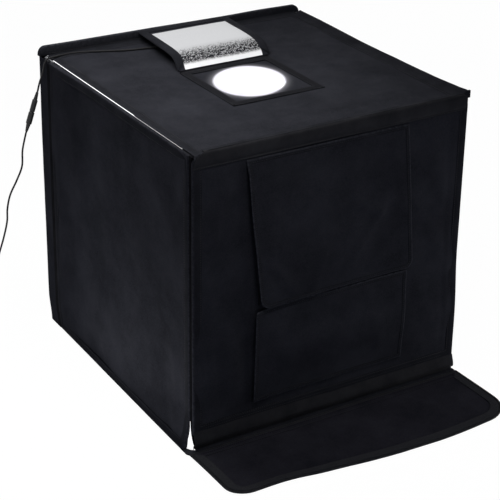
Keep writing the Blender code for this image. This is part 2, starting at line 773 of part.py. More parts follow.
def hanging_flap(name, left, right, bottom, top, corner, inner_face):
    """Hanging fabric flap with round lower corners, billowed, as a sheet with a thickness."""
    model = bmesh.new()
    columns, rows = BILLOW_COLUMN_STEPS, BILLOW_ROW_STEPS
    bmesh.ops.create_grid(model, x_segments=columns, y_segments=rows, size=1)
    width, height = right - left, top - bottom
    for vert in model.verts:
        column = round((vert.co.x + 1) / 2 * columns)
        row = round((vert.co.y + 1) / 2 * rows)
        across = grid_place(column, width, corner, columns)
        rise = grid_place(row, height, corner, rows)
        if rise < corner and (across < corner or across > width - corner):
            side = 1 if across > width - corner else -1
            reach = (across - (width - corner)) if side > 0 else (corner - across)
            share_x, share_y = disc_share(reach / corner, (corner - rise) / corner)
            across = (width - corner + corner * share_x) if side > 0 else (corner - corner * share_x)
            rise = corner - corner * share_y
        out = inner_face + billow(across / width, rise / height)
        vert.co = Vector((left + across + lean(rise / height), -out, bottom + rise))
    data = bpy.data.meshes.new(name)
    bmesh.ops.recalc_face_normals(model, faces=model.faces)
    for face in model.faces:
        if face.normal.y > 0:
            face.normal_flip()
    model.to_mesh(data)
    model.free()
    item = bpy.data.objects.new(name, data)
    shell = item.modifiers.new("Thickness", "SOLIDIFY")
    shell.thickness = WINDOW_FLAP
    shell.offset = 1
    return item


def edge_run(left, right, near, far, radius, steps):
    """Open outline down the left side, along the far edge and back up the right side."""
    quarter = math.pi / 2
    turn = 1 if far < near else -1
    points = [(left, near)]
    points += arc((left + radius, far + turn * radius), radius, 2 * quarter,
                  2 * quarter + turn * quarter, steps)
    points += arc((right - radius, far + turn * radius), radius, -turn * quarter, 0, steps)
    points.append((right, near))
    return points


def tape_outline(left, right, near, far, width):
    """U-shaped strip of tape: down the left side, along the far edge and up the right side."""
    step = width if far < near else -width
    return [(left, near), (left, far), (right, far), (right, near), (right - width, near),
            (right - width, far + step), (left + width, far + step), (left + width, near)]


def build_upper_flap(group, door_hinge):
    """Upper window flap, hung a little askew, and the tape round its window."""
    inner = flap_inner_face()
    hinge = hinge_empty("upper_flap_axis", (0, -inner, UPPER_FLAP_TOP + FLAP_HINGE_GAP), group)
    hinge.parent = door_hinge
    hinge.matrix_parent_inverse = door_hinge.matrix_world.inverted()
    edge = 2 * WINDOW_BEAD + SEAT
    half = UPPER_FLAP_HALF_WIDTH
    bottom = UPPER_FLAP_BOTTOM
    cover = hanging_flap("upper_flap_cover", -half + edge, half - edge, bottom + edge,
                         UPPER_FLAP_TOP, WINDOW_FLAP_CORNER, inner)
    add(cover, FABRIC, group, hinge)
    bead_half = half - WINDOW_BEAD
    low = bottom + WINDOW_BEAD
    radius = WINDOW_FLAP_CORNER + WINDOW_BEAD + SEAT
    top = UPPER_FLAP_TOP - WINDOW_BEAD
    corners = edge_run(-bead_half, bead_half, top, low, radius, CORNER_STEPS)
    points = []
    for x, z in thicken_run(corners, BILLOW_ROW_STEPS):
        across = (x + bead_half) / (2 * bead_half)
        rise = (z - low) / (top - low)
        points.append((x + lean(rise), -inner - WINDOW_FLAP / 2 - billow(across, rise), z))
    add(tube("upper_flap_binding", points, WINDOW_BEAD, 1), BINDING, group, hinge)
    tape_half = WINDOW_HALF_WIDTH + SEAT + WINDOW_TAPE_WIDTH
    strip = tape_outline(-tape_half, tape_half, UPPER_WINDOW_TOP, bottom + edge + WINDOW_TAPE_INSET,
                         WINDOW_TAPE_WIDTH)
    face = inner - SEAT
    tape = plate("upper_flap_tape", facing_front(), (face - WINDOW_TAPE, face), strip)
    add(tape, LOOP_TAPE, group, door_hinge)


def thicken_run(points, count):
    """Adds points along an outline's long stretches, so that it can follow a billow."""
    filled = [points[0]]
    for first, second in zip(points, points[1:]):
        length = math.hypot(second[0] - first[0], second[1] - first[1])
        steps = count if length > BINDING_WIDTH else 1
        for step in range(1, steps + 1):
            share = step / steps
            filled.append((first[0] + (second[0] - first[0]) * share,
                           first[1] + (second[1] - first[1]) * share))
    return filled


def build_lower_flap(group, door_hinge):
    """Lower window flap, sewn on along its lower edge, and the tape round its window."""
    inner = flap_inner_face()
    hinge = hinge_empty("lower_flap_axis", (0, -inner, LOWER_FLAP_BOTTOM - FLAP_HINGE_GAP), group)
    hinge.parent = door_hinge
    hinge.matrix_parent_inverse = door_hinge.matrix_world.inverted()
    edge = 2 * WINDOW_BEAD + SEAT
    half = LOWER_FLAP_HALF_WIDTH
    top = LOWER_FLAP_TOP
    corners = (SEAT, SEAT, BINDING_CORNER, BINDING_CORNER)
    outline = rounded(-half + edge, half - edge, LOWER_FLAP_BOTTOM, top - edge, corners)
    cover = plate("lower_flap_cover", facing_front(), (inner, inner + WINDOW_FLAP), outline)
    add(cover, FABRIC, group, hinge)
    bead_half = half - WINDOW_BEAD
    radius = BINDING_CORNER + WINDOW_BEAD + SEAT
    run = edge_run(-bead_half, bead_half, LOWER_FLAP_BOTTOM + WINDOW_BEAD, top - WINDOW_BEAD, radius,
                   CORNER_STEPS)
    points = [(x, -inner - WINDOW_FLAP / 2, z) for x, z in run]
    add(tube("lower_flap_binding", points, WINDOW_BEAD, 1), BINDING, group, hinge)
    tape_half = WINDOW_HALF_WIDTH + SEAT + WINDOW_TAPE_WIDTH
    strip = tape_outline(-tape_half, tape_half, LOWER_WINDOW_BOTTOM,
                         top - edge - WINDOW_TAPE_INSET, WINDOW_TAPE_WIDTH)
    face = inner - SEAT
    tape = plate("lower_flap_tape", facing_front(), (face - WINDOW_TAPE, face), strip)
    add(tape, LOOP_TAPE, group, door_hinge)


def closure_run(inset):
    """The closure flap's free edge, from its left root round both front corners, moved inwards."""
    root = closure_axis_y() - FLAP_HINGE_GAP
    half = CLOSURE_HALF_WIDTH - inset
    left_front = apron_front() - CLOSURE_LEFT_REACH + inset
    right_front = apron_front() - CLOSURE_RIGHT_REACH + inset
    slope = math.atan2(right_front - left_front, 2 * half)
    left_radius = CLOSURE_LEFT_RADIUS - inset
    right_radius = CLOSURE_RIGHT_RADIUS - inset
    quarter = math.pi / 2
    left_span = quarter + slope
    right_span = quarter - slope
    left_cut = left_radius * math.tan(left_span / 2)
    right_cut = right_radius * math.tan(right_span / 2)
    left_centre = (-half + left_radius, left_front + left_cut)
    right_centre = (half - right_radius, right_front + right_cut)
    points = [(-half, root)]
    points += arc(left_centre, left_radius, 2 * quarter, 2 * quarter + left_span, 2 * CORNER_STEPS)
    points += arc(right_centre, right_radius, -right_span, 0, 2 * CORNER_STEPS)
    points.append((half, root))
    return points


def closure_axis_y():
    """Place of the closure flap's fold line, just in front of the apron."""
    return apron_front() - SEAT


def build_closure_flap(group):
    """Closure flap, lying on the table in front of the door."""
    middle = CLOSURE_LIFT + CLOSURE_FLAP / 2
    low = CLOSURE_LIFT + CLOSURE_FLAP + SEAT
    hinge = hinge_empty("closure_flap_axis", (0, closure_axis_y(), low + CLOSURE_BAND), group)
    edge = 2 * CLOSURE_BEAD + SEAT
    outline = closure_run(edge)
    cover = plate("closure_flap_cover", facing_up(), (CLOSURE_LIFT, CLOSURE_LIFT + CLOSURE_FLAP),
                  outline)
    add(cover, FABRIC, group, hinge)
    points = [(x, y, middle) for x, y in closure_run(CLOSURE_BEAD)]
    add(tube("closure_flap_binding", points, CLOSURE_BEAD, 1), BINDING, group, hinge)
    near = edge + CLOSURE_BAND_INSET
    outer_run = closure_run(near)
    inner_run = closure_run(near + CLOSURE_BAND_WIDTH)
    band = plate("closure_flap_band", facing_up(), (low, low + CLOSURE_BAND),
                 outer_run + inner_run[::-1])
    add(band, LOOP_TAPE, group, hinge)


def build_lights(group):
    """Two light bars under the top, each a channel with its diffuser."""
    ceiling = TOP_FACE - PANEL - SEAT
    foot = ceiling - LIGHT_HEIGHT
    for side, word in ((-1, "left"), (1, "right")):
        middle = side * LIGHT_OFFSET
        half = LIGHT_WIDTH / 2
        section = [
            (middle - half, foot), (middle - half + LIGHT_WALL, foot),
            (middle - half + LIGHT_WALL, ceiling - LIGHT_WALL),
            (middle + half - LIGHT_WALL, ceiling - LIGHT_WALL),
            (middle + half - LIGHT_WALL, foot), (middle + half, foot),
            (middle + half, ceiling), (middle - half, ceiling),
        ]
        span = (-LIGHT_HALF_LENGTH, LIGHT_HALF_LENGTH)
        add(plate("light_channel_" + word, facing_front(), span, section), ALUMINIUM, group)
        inner = half - LIGHT_WALL - SEAT
        lens = [(middle + inner, foot + DIFFUSER_SEAT), (middle - inner, foot + DIFFUSER_SEAT)]
        steps = 2 * CORNER_STEPS
        for step in range(steps + 1):
            angle = math.pi * (1 + step / steps)
            lens.append((middle + inner * math.cos(angle), foot + DIFFUSER_DROP * math.sin(angle)))
        add(plate("light_diffuser_" + word, facing_front(), span, lens), DIFFUSER, group)


def build_backdrop(group):
    """White sheet that hangs on the back and curves forward over the floor."""
    back = BACK_INNER - SEAT
    foot = PLAIN_PANEL + SEAT
    quarter = math.pi / 2
    centre = (back - BACKDROP_RADIUS, foot + BACKDROP_RADIUS)
    outer = [(back, BACKDROP_TOP)]
    outer += arc(centre, BACKDROP_RADIUS, 0, -quarter, 2 * CORNER_STEPS)
    outer.append((BACKDROP_FRONT, foot))
    inner = [(BACKDROP_FRONT, foot + BACKDROP)]
    inner += arc(centre, BACKDROP_RADIUS - BACKDROP, -quarter, 0, 2 * CORNER_STEPS)
    inner.append((back - BACKDROP, BACKDROP_TOP))
    span = (-BACKDROP_HALF_WIDTH, BACKDROP_HALF_WIDTH)
    add(plate("backdrop", facing_right(), span, outer + inner), WHITE_SHEET, group)


def gland_direction():
    """Horizontal direction in which the lead leaves its gland."""
    return Vector((-math.cos(GLAND_TURN), -math.sin(GLAND_TURN), 0))


def boot_tip():
    """Middle of the gland's boot at its tip."""
    height = TOP_COVER_FACE + SEAT + BOOT_ROOT
    return Vector((GLAND_X, GLAND_Y, height)) + gland_direction() * (GLAND_LENGTH / 2 + BOOT_LENGTH)


def build_gland(group, cutters):
    """Moulded gland on the top, under the port flap, with its tapered boot."""
    base = TOP_COVER_FACE + SEAT
    low = (-GLAND_LENGTH / 2, -GLAND_WIDTH / 2, 0)
    high = (GLAND_LENGTH / 2, GLAND_WIDTH / 2, GLAND_HEIGHT)
    body = box("lead_gland", low, high)
    body.location = (GLAND_X, GLAND_Y, base + GLAND_HEIGHT / 2)
    body.rotation_euler = (0, 0, math.pi + GLAND_TURN)
    soften(body, GLAND_SOFTENING, 2)
    tip = boot_tip()
    back = tip - gland_direction() * (BOOT_LENGTH + OVERRUN)
    total = BOOT_LENGTH + OVERRUN
    profile = [(0, total), (BOOT_TIP, total), (BOOT_ROOT, OVERRUN), (BOOT_ROOT, 0), (0, 0)]
    boot = turned("lead_boot_form", back, gland_direction(), profile)
    add(unite(body, [boot], cutters), RUBBER, group)


def connector_parts():
    """Axis of the power connectors and the lengths of socket and plug."""
    axis = PLUG_END - SOCKET_TOP
    length = axis.length
    axis.normalize()
    body = (length - 2 * CONNECTOR_BOOT - SEAT) / 2
    return axis, body


def build_connectors(group):
    """Round power socket on the tent's lead and the plug on the adapter's lead."""
    axis, body = connector_parts()
    total = CONNECTOR_BOOT + body
    for name, start, towards, radius in (
            ("lead_socket", SOCKET_TOP, axis, SOCKET_RADIUS),
            ("supply_plug", PLUG_END, -axis, PLUG_RADIUS)):
        profile = [
            (0, total), (radius - CONNECTOR_STEP, total), (radius, total - CONNECTOR_STEP),
            (radius, CONNECTOR_BOOT + CONNECTOR_STEP), (radius - CONNECTOR_STEP, CONNECTOR_BOOT),
            (BOOT_TIP, 0), (0, 0),
        ]
        add(turned(name, start, towards, profile), PLASTIC, group)


def build_lead(group):
    """The lead, from its gland over the top and down to the socket."""
    axis, _ = connector_parts()
    straight = 2 * CORD_RADIUS
    start = boot_tip() + gland_direction() * SEAT
    end = SOCKET_TOP - axis * SEAT
    route = [start, start + gland_direction() * straight]
    route += [Vector(point) * MM for point in LEAD_ROUTE]
    route += [end - axis * straight, end]
    points, length = path_points(route, CORD_SPACING_SHARE * 2 * CORD_RADIUS)
    add(tube("lead_cord", points, CORD_RADIUS, 2), RUBBER, group)
    return length


def coil_points():
    """Middle line of the coil: spiralling in on the lower layer, and out on the upper one."""
    reversal = COIL_TURNS / 2
    soft = COIL_REVERSAL_SHARE
    reach = COIL_PITCH * math.hypot(reversal, soft)
    inner = COIL_MEAN_RADIUS - reach / 2
    count = round(COIL_TURNS * COIL_STEPS)
    points = []
    for step in range(count + 1):
        turn = COIL_TURNS * step / count
        radius = inner + COIL_PITCH * math.hypot(turn - reversal, soft)
        share = min(max((turn - reversal) / COIL_CLIMB_SHARE + COIL_CLIMB_SHARE, 0.0), 1.0)
        rise = share * share * (3 - 2 * share)
        angle = -math.pi / 2 - 2 * math.pi * turn
        points.append(Vector((COIL_X + radius * math.cos(angle), COIL_Y + radius * math.sin(angle),
                              COIL_REST + COIL_LAYER * rise)))
    straight = 2 * CORD_RADIUS
    lead_in = points[0] + Vector((straight, 0, 0))
    lead_out = points[-1] + Vector((0, COIL_TAIL, 0))
    return [lead_in, *points, lead_out]


def least_gap(points):
    """Smallest distance between turns that lie apart along the coil, less the cord itself."""
    apart = COIL_STEPS // 2
    least = COIL_MEAN_RADIUS
    for first in range(len(points)):
        for second in range(first + apart, len(points)):
            least = min(least, (points[first] - points[second]).length)
    return least - 2 * CORD_RADIUS


def build_supply(group, cutters):
    """The adapter's lead from the plug to its coil, and the wall adapter behind the coil."""
    axis, _ = connector_parts()
    straight = 2 * CORD_RADIUS
    coil = coil_points()
    start = PLUG_END + axis * SEAT
    end = coil[0] + Vector((SEAT, 0, 0))
    route = [start, start + axis * straight]
    route += [Vector(point) * MM for point in SUPPLY_ROUTE]
    route += [end + Vector((straight, 0, 0)), end]
    points, length = path_points(route, CORD_SPACING_SHARE * 2 * CORD_RADIUS)
    add(tube("supply_cord", points, CORD_RADIUS, 2), RUBBER, group)
    add(tube("supply_coil", coil, CORD_RADIUS, 1), RUBBER, group)
    end = coil[-1] + Vector((0, SEAT, 0))
    build_adapter(end, group, cutters)
    coil_length = sum((b - a).length for a, b in zip(coil, coil[1:]))
    return length, coil_length, least_gap(coil)


def build_adapter(boot_end, group, cutters):
    """Wall adapter with its boot towards the coil and two blades at its far end."""
    front = boot_end.y + ADAPTER_BOOT
    half = ADAPTER_WIDTH / 2
    body = box("wall_adapter", (boot_end.x - half, front, 0),
               (boot_end.x + half, front + ADAPTER_LENGTH, ADAPTER_HEIGHT))
    soften(body, ADAPTER_SOFTENING, 2)
    far = front + ADAPTER_LENGTH
    extras = []
    for side in (-1, 1):
        middle = boot_end.x + side * BLADE_SPACING / 2
        height = ADAPTER_HEIGHT / 2
        low = (middle - BLADE_THICKNESS / 2, far - OVERRUN, height - BLADE_WIDTH / 2)
        high = (middle + BLADE_THICKNESS / 2, far + BLADE_LENGTH, height + BLADE_WIDTH / 2)
        blade = box("blade_form", low, high)
        extras.append(blade)
    total = ADAPTER_BOOT + ADAPTER_SOFTENING
    profile = [(0, total), (BOOT_ROOT, total), (BOOT_TIP, 0), (0, 0)]
    extras.append(turned("adapter_boot_form", boot_end, (0, 1, 0), profile))
    add(unite(body, extras, cutters), PLASTIC, group)


def report(lead, supply, coil, gap):
    """Prints the cord lengths, the coil's least gap and the places that joints turn about."""
    print("lead %.1f mm, supply %.1f mm, coil %.1f mm" % (lead / MM, supply / MM, coil / MM))
    print("least gap between the coil's turns %.2f mm" % (gap / MM))
    for item in bpy.data.objects:
        if item.type == "EMPTY":
            print("axis", item.name, [round(value / MM, 3) for value in item.matrix_world.translation])


def main():
    """Builds the light tent cube."""
    clear_scene()
    group = collection("light_tent_cube")
    cutters = collection("cutters")
    build_floor(group)
    build_back(group)
    build_top(group)
    build_port_flap(group)
    build_side_walls(group)
    door_hinge = build_door(group)
    build_upper_flap(group, door_hinge)
    build_lower_flap(group, door_hinge)
    build_closure_flap(group)
    build_lights(group)
    build_backdrop(group)
    build_gland(group, cutters)
    build_connectors(group)
    lead = build_lead(group)
    supply, coil, gap = build_supply(group, cutters)
    bpy.context.view_layer.update()
    report(lead, supply, coil, gap)


main()
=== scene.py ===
"""Looks of the light tent cube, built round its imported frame. Metres, +Z up, the door faces -Y.

Sizes are written in millimetres and multiplied by MM. A fabric piece is laid as a fine grid on the
face that carries it, with its folds and waves, and then gets its thickness.
"""

import logging
import math
from dataclasses import dataclass, field
from enum import Enum
from typing import Callable, Sequence

import bmesh
import bpy
from mathutils import Matrix, Vector, noise


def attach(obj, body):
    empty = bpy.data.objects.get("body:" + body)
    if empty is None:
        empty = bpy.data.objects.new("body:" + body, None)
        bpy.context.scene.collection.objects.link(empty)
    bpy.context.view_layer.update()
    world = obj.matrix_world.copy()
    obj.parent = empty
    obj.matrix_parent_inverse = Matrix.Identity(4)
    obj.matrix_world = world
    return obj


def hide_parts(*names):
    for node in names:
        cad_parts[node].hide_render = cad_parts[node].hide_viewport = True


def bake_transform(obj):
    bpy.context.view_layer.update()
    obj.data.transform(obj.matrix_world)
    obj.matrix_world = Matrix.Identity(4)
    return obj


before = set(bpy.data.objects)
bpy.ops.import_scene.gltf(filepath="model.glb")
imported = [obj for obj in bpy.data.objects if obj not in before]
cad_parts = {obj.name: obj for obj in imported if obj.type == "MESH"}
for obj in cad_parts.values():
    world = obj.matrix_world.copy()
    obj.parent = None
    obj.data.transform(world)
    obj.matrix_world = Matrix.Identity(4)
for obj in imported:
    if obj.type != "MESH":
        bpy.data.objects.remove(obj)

MM = 0.001
CORD_RADIUS = 1.6 * MM
CORD_STRAIGHT = 2 * CORD_RADIUS
WELD_DISTANCE = 0.02 * MM
WIDE_OPENING = 40 * MM
PHOTO_WIDTH = 500
SENSOR_WIDTH = 36.0
CORNER_SIGNS = ((-1, -1), (1, -1), (1, 1), (-1, 1))
X, Y, Z = Vector((1, 0, 0)), Vector((0, 1, 0)), Vector((0, 0, 1))

At = Callable[[float, float, float], Vector]
Place = Callable[[float, float], Vector]
Row = tuple[float, ...]
Object = bpy.types.Object
Material = bpy.types.Material
Socket = bpy.types.NodeSocket
log = logging.getLogger("light_tent")


class Body(Enum):
    """Bodies of the tent that a piece can ride on."""

    SHELL = "shell"
    LEFT_WALL = "left_wall"
    RIGHT_WALL = "right_wall"
    DOOR = "door"
    UPPER_FLAP = "upper_flap"
    LOWER_FLAP = "lower_flap"
    PORT_FOLD = "port_fold"
    PORT_FLAP = "port_flap"
    CLOSURE_FLAP = "closure_flap"


class Slot(Enum):
    """Material slots of the record that pieces of the scene stand for."""

    FABRIC = "fabric_black"
    BINDING = "binding_black"
    FILM = "silver_film"
    LOOP = "loop_tape"
    SHEET = "white_sheet"
    RUBBER = "rubber_black"


# ---- Hand tools


def mm(*place: float) -> Vector:
    """Point or step from its places in millimetres."""
    return Vector(place) * MM


def deselect() -> None:
    """Leaves nothing selected."""
    bpy.ops.object.select_all(action="DESELECT")


def take(item: Object) -> Object:
    """Makes an object the only selected one, and the active one.

    Args:
        item: The object.

    Returns:
        The object.
    """
    deselect()
    item.select_set(True)
    bpy.context.view_layer.objects.active = item
    return item


def begin_edit(item: Object, whole: bool = False) -> None:
    """Opens an object in edit mode with nothing selected, or all of it.

    Args:
        item: The object.
        whole: Selects everything.
    """
    take(item)
    bpy.ops.object.mode_set(mode="EDIT")
    bpy.ops.mesh.select_all(action="SELECT" if whole else "DESELECT")


def end_edit() -> None:
    """Goes back to object mode."""
    bpy.ops.object.mode_set(mode="OBJECT")


def pick(item: Object, test: Callable[[list[Vector]], bool]) -> None:
    """Selects in edit mode the edges whose ends pass a test.

    Args:
        item: The object that is open in edit mode.
        test: Called with the places of the edge's ends.
    """
    bpy.ops.mesh.select_mode(type="EDGE")
    bpy.ops.mesh.select_all(action="DESELECT")
    for edge in bmesh.from_edit_mesh(item.data).edges:
        edge.select_set(test([vert.co for vert in edge.verts]))
    bmesh.update_edit_mesh(item.data)


def modify(item: Object, kind: str, **settings: object) -> None:
    """Adds a modifier with these settings and applies it.

    Args:
        item: The object.
        kind: Type of the modifier.
        settings: Values of its properties.
    """
    take(item)
    modifier = item.modifiers.new(kind.title(), kind)
    for name, value in settings.items():
        setattr(modifier, name, value)
    bpy.ops.object.modifier_apply(modifier=modifier.name)


def bevel(item: Object, width: float, segments: int = 2, degrees: float = 60) -> None:
    """Rounds the edges that are sharper than an angle; the width is in millimetres.

    Args:
        item: The object.
        width: Width of the rounding.
        segments: Faces across it.
        degrees: The angle.
    """
    modify(item, "BEVEL", width=width * MM, segments=segments, limit_method="ANGLE",
           angle_limit=math.radians(degrees))


def weld(item: Object) -> None:
    """Merges the mesh's doubles and turns its faces outwards.

    Args:
        item: The object.
    """
    begin_edit(item, whole=True)
    bpy.ops.mesh.remove_doubles(threshold=WELD_DISTANCE)
    bpy.ops.mesh.normals_make_consistent(inside=False)
    end_edit()


def smooth(item: Object, degrees: float = 45) -> None:
    """Shades an object smooth, with its sharp edges kept."""
    take(item)
    bpy.ops.object.shade_smooth_by_angle(angle=math.radians(degrees))


def settle(item: Object) -> None:
    """Puts an object's place, turn and scale into its mesh."""
    take(item)
    bpy.ops.object.transform_apply(location=True, rotation=True, scale=True)


def join(name: str, items: Sequence[Object]) -> Object:
    """Joins objects into one and names it.

    Args:
        name: Name of the joined object.
        items: The objects.

    Returns:
        The joined object.
    """
    deselect()
    for item in items:
        item.select_set(True)
    bpy.context.view_layer.objects.active = items[0]
    if len(items) > 1:
        bpy.ops.object.join()
    return named(items[0], name)


def named(item: Object, name: str) -> Object:
    """Names an object and its data.

    Args:
        item: The object.
        name: The name.

    Returns:
        The object.
    """
    item.name = name
    item.data.name = name
    return item


def block(name: str, centre: Sequence[float], size: Sequence[float]) -> Object:
    """Box primitive; its place and sides are in millimetres.

    Args:
        name: Name of the object.
        centre: Its middle.
        size: Its sides.

    Returns:
        The box.
    """
    deselect()
    bpy.ops.mesh.primitive_cube_add(size=1, location=[value * MM for value in centre])
    item = named(bpy.context.active_object, name)
    item.scale = [value * MM for value in size]
    settle(item)
    return item


@dataclass(frozen=True)
class Span:
    """Place where a piece bends from one body to the next."""

    first: Body
    second: Body
    start: Vector
    end: Vector


def fit(item: Object, body: Body | Span, slot: Slot, finish: Material, *nodes: str) -> Object:
    """Dresses a finished piece and fixes it to its body; a piece that spans two bodies only has its
    place put into its mesh and rides on none.

    Args:
        item: The piece.
        body: The body that it rides on, or the two that it spans.
        slot: The record's slot that its finish stands for; not used.
        finish: Its material.
        nodes: CAD nodes that it replaces.

    Returns:
        The piece.
    """
    item.data.materials.clear()
    item.data.materials.append(finish)
    if isinstance(body, Span):
        tuple(body.start)
        tuple(body.end)
        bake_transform(item)
    else:
        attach(item, body.value)
    if nodes:
        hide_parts(*nodes)
    count = len(item.data.polygons) if item.type == "MESH" else 0
    log.info("%s, %d faces", item.name, count)
    return item


# ---- Cloth

FOLD_OVERHANG = 0.2
FOLD_FADE = 0.3
FOLD_REACH = 3
RIPPLE_SCALE = 4.3
RIPPLE_SEED = 7


@dataclass(frozen=True)
class Fold:
    """A soft ridge in a fabric, or a hollow where its height is negative, in millimetres."""

    start: tuple[float, float]
    end: tuple[float, float]
    width: float
    height: float

    def lift(self, across: float, up: float) -> float:
        """Height of the fold at a point of the fabric, in metres.

        Args:
            across: First place on the fabric, in metres.
            up: Second place on the fabric, in metres.

        Returns:
            The fold's height there.
        """
        run_x, run_y = self.end[0] - self.start[0], self.end[1] - self.start[1]
        off_x, off_y = across / MM - self.start[0], up / MM - self.start[1]
        share = (off_x * run_x + off_y * run_y) / (run_x * run_x + run_y * run_y)
        if not -FOLD_OVERHANG < share < 1 + FOLD_OVERHANG:
            return 0.0
        away = math.hypot(off_x - share * run_x, off_y - share * run_y) / self.width
        if away > FOLD_REACH:
            return 0.0
        inside = min(share, 1 - share) + FOLD_OVERHANG
        fade = min(1.0, max(0.0, inside / FOLD_FADE))
        return self.height * MM * fade * math.exp(-away * away)


def folds_of(*rows: Row) -> tuple[Fold, ...]:
    """Folds from rows of two ends, each across and up, a width and a height."""
    return tuple(Fold((row[0], row[1]), (row[2], row[3]), row[4], row[5]) for row in rows)


@dataclass(frozen=True)
class Drape:
    """How a fabric that is stretched or hangs departs from its flat place, in millimetres."""

    swell: float = 0.8
    span: float = 110
    ripple: float = 0.15
    seed: float = 0
    folds: tuple[Fold, ...] = ()
    sink: float = 0.8

    def lift(self, across: float, up: float) -> float:
        """Height of the fabric at a point, in metres.

        Args:
            across: First place on the fabric, in metres.
            up: Second place on the fabric, in metres.

        Returns:
            The height there.
        """
        first, second = across / MM / self.span, up / MM / self.span
        broad = noise.noise(Vector((first, second, self.seed)))
        fine = noise.noise(Vector((first * RIPPLE_SCALE, second * RIPPLE_SCALE,
                                   self.seed + RIPPLE_SEED)))
        total = (self.swell * broad + self.ripple * fine) * MM
        total += sum(fold.lift(across, up) for fold in self.folds)
        return total if total > 0 else self.sink * MM * math.tanh(total / (self.sink * MM))


FLAT = Drape(0, 100, 0)


@dataclass(frozen=True)
class Face:
    """Flat face of a panel: two directions along it, the one out of it, and how far out it lies."""

    across: Vector
    up: Vector
    out: Vector
    level: float

    def at(self, across: float, up: float, lift: float = 0.0) -> Vector:
        """Point of the face, or off it by a lift.

        Args:
            across: Place along the first direction.
            up: Place along the second direction.
            lift: Distance out of the face.

        Returns:
            The point.
        """
        return self.across * across + self.up * up + self.out * (self.level + lift)


FRONT_FACE = Face(X, Z, -Y, 254 * MM)
LEFT_FACE = Face(Y, Z, -X, 254 * MM)
RIGHT_FACE = Face(Y, Z, X, 254 * MM)
TOP_FACE = Face(X, Y, Z, 502 * MM)
FLOOR_FACE = Face(X, Y, Z, 0.0)


class Side(Enum):
    """Upper or lower side of an outline."""

    TOP = 1
    BOTTOM = -1


@dataclass(frozen=True)
class Station:
    """A place on an outline: the point it turns about, its outward direction and its radius."""

    core: tuple[float, float]
    normal: tuple[float, float]
    radius: float


@dataclass(frozen=True)
class Outline:
    """Rectangle with round corners: lower left, lower right, upper right and upper left."""

    left: float
    right: float
    bottom: float
    top: float
    corners: tuple[float, float, float, float]

    @classmethod
    def mm(cls, left: float, right: float, bottom: float, top: float, *corners: float) -> "Outline":
        """Outline from millimetres; one corner radius stands for all four.

        Args:
            left: Least place across.
            right: Greatest place across.
            bottom: Least place up.
            top: Greatest place up.
            corners: One or four radii.

        Returns:
            The outline.
        """
        radii = corners if len(corners) == 4 else corners * 4
        return cls(left * MM, right * MM, bottom * MM, top * MM, tuple(r * MM for r in radii))

    def shrunk(self, rim: float, least: float, top_rim: float | None = None) -> "Outline":
        """Outline moved inwards; sizes in millimetres.

        Args:
            rim: How far inwards.
            least: Least radius of its corners.
            top_rim: How far its upper side moves, where that differs.

        Returns:
            The smaller outline.
        """
        rim, least = rim * MM, least * MM
        top_rim = rim if top_rim is None else top_rim * MM
        return Outline(self.left + rim, self.right - rim, self.bottom + rim, self.top - top_rim,
                       tuple(max(radius - rim, least) for radius in self.corners))

    def stations(self, pitch: float = 6 * MM, steps: int = 8) -> list[Station]:
        """Places round the outline, the first of them repeated at the end.

        Args:
            pitch: Distance between places along a side.
            steps: Steps round a corner.

        Returns:
            The places.
        """
        xs, ys = (self.left, self.right), (self.bottom, self.top)
        found: list[Station] = []
        for index, ((sx, sy), radius) in enumerate(zip(CORNER_SIGNS, self.corners)):
            centre = (xs[sx > 0] - sx * radius, ys[sy > 0] - sy * radius)
            start = math.pi + index * math.pi / 2
            for step in range(steps + 1):
                angle = start + math.pi / 2 * step / steps
                found.append(Station(centre, (math.cos(angle), math.sin(angle)), radius))
            nx, ny = found[-1].normal
            following = (index + 1) % 4
            tx, ty = CORNER_SIGNS[following]
            far = self.corners[following]
            begin = (centre[0] + nx * radius, centre[1] + ny * radius)
            end = (xs[tx > 0] - tx * far + nx * far, ys[ty > 0] - ty * far + ny * far)
            length = math.hypot(end[0] - begin[0], end[1] - begin[1])
            count = max(1, round(length / pitch))
            for step in range(1, count):
                share = step / count
                place = (begin[0] + (end[0] - begin[0]) * share,
                         begin[1] + (end[1] - begin[1]) * share)
                found.append(Station(place, (nx, ny), 0.0))
        return found + found[:1]

    def point(self, station: Station, inset: float) -> tuple[float, float]:
        """Point of the outline moved inwards, mitred where a corner has no more room.

        Args:
            station: The place on the outline.
            inset: How far inwards, or outwards where it is negative.

        Returns:
            The point's two places.
        """
        reach = station.radius - inset
        if station.radius > 0 and reach < 0:
            reach = 0.0
        x = station.core[0] + station.normal[0] * reach
        y = station.core[1] + station.normal[1] * reach
        x = min(max(x, self.left + inset), self.right - inset)
        y = min(max(y, self.bottom + inset), self.top - inset)
        return x, y

    def rounded(self, x: float, y: float) -> tuple[float, float]:
        """Moves a point of the square-cornered rectangle into the rounded one.

        Args:
            x: First place.
            y: Second place.

        Returns:
            The moved point.
        """
        for (sx, sy), radius in zip(CORNER_SIGNS, self.corners):
            if radius <= 0:
                continue
            cx = (self.right if sx > 0 else self.left) - sx * radius
            cy = (self.top if sy > 0 else self.bottom) - sy * radius
            px, py = (x - cx) * sx / radius, (y - cy) * sy / radius
            if px > 0 and py > 0:
                return (cx + sx * radius * px * math.sqrt(1 - py * py / 2),
                        cy + sy * radius * py * math.sqrt(1 - px * px / 2))
        return x, y


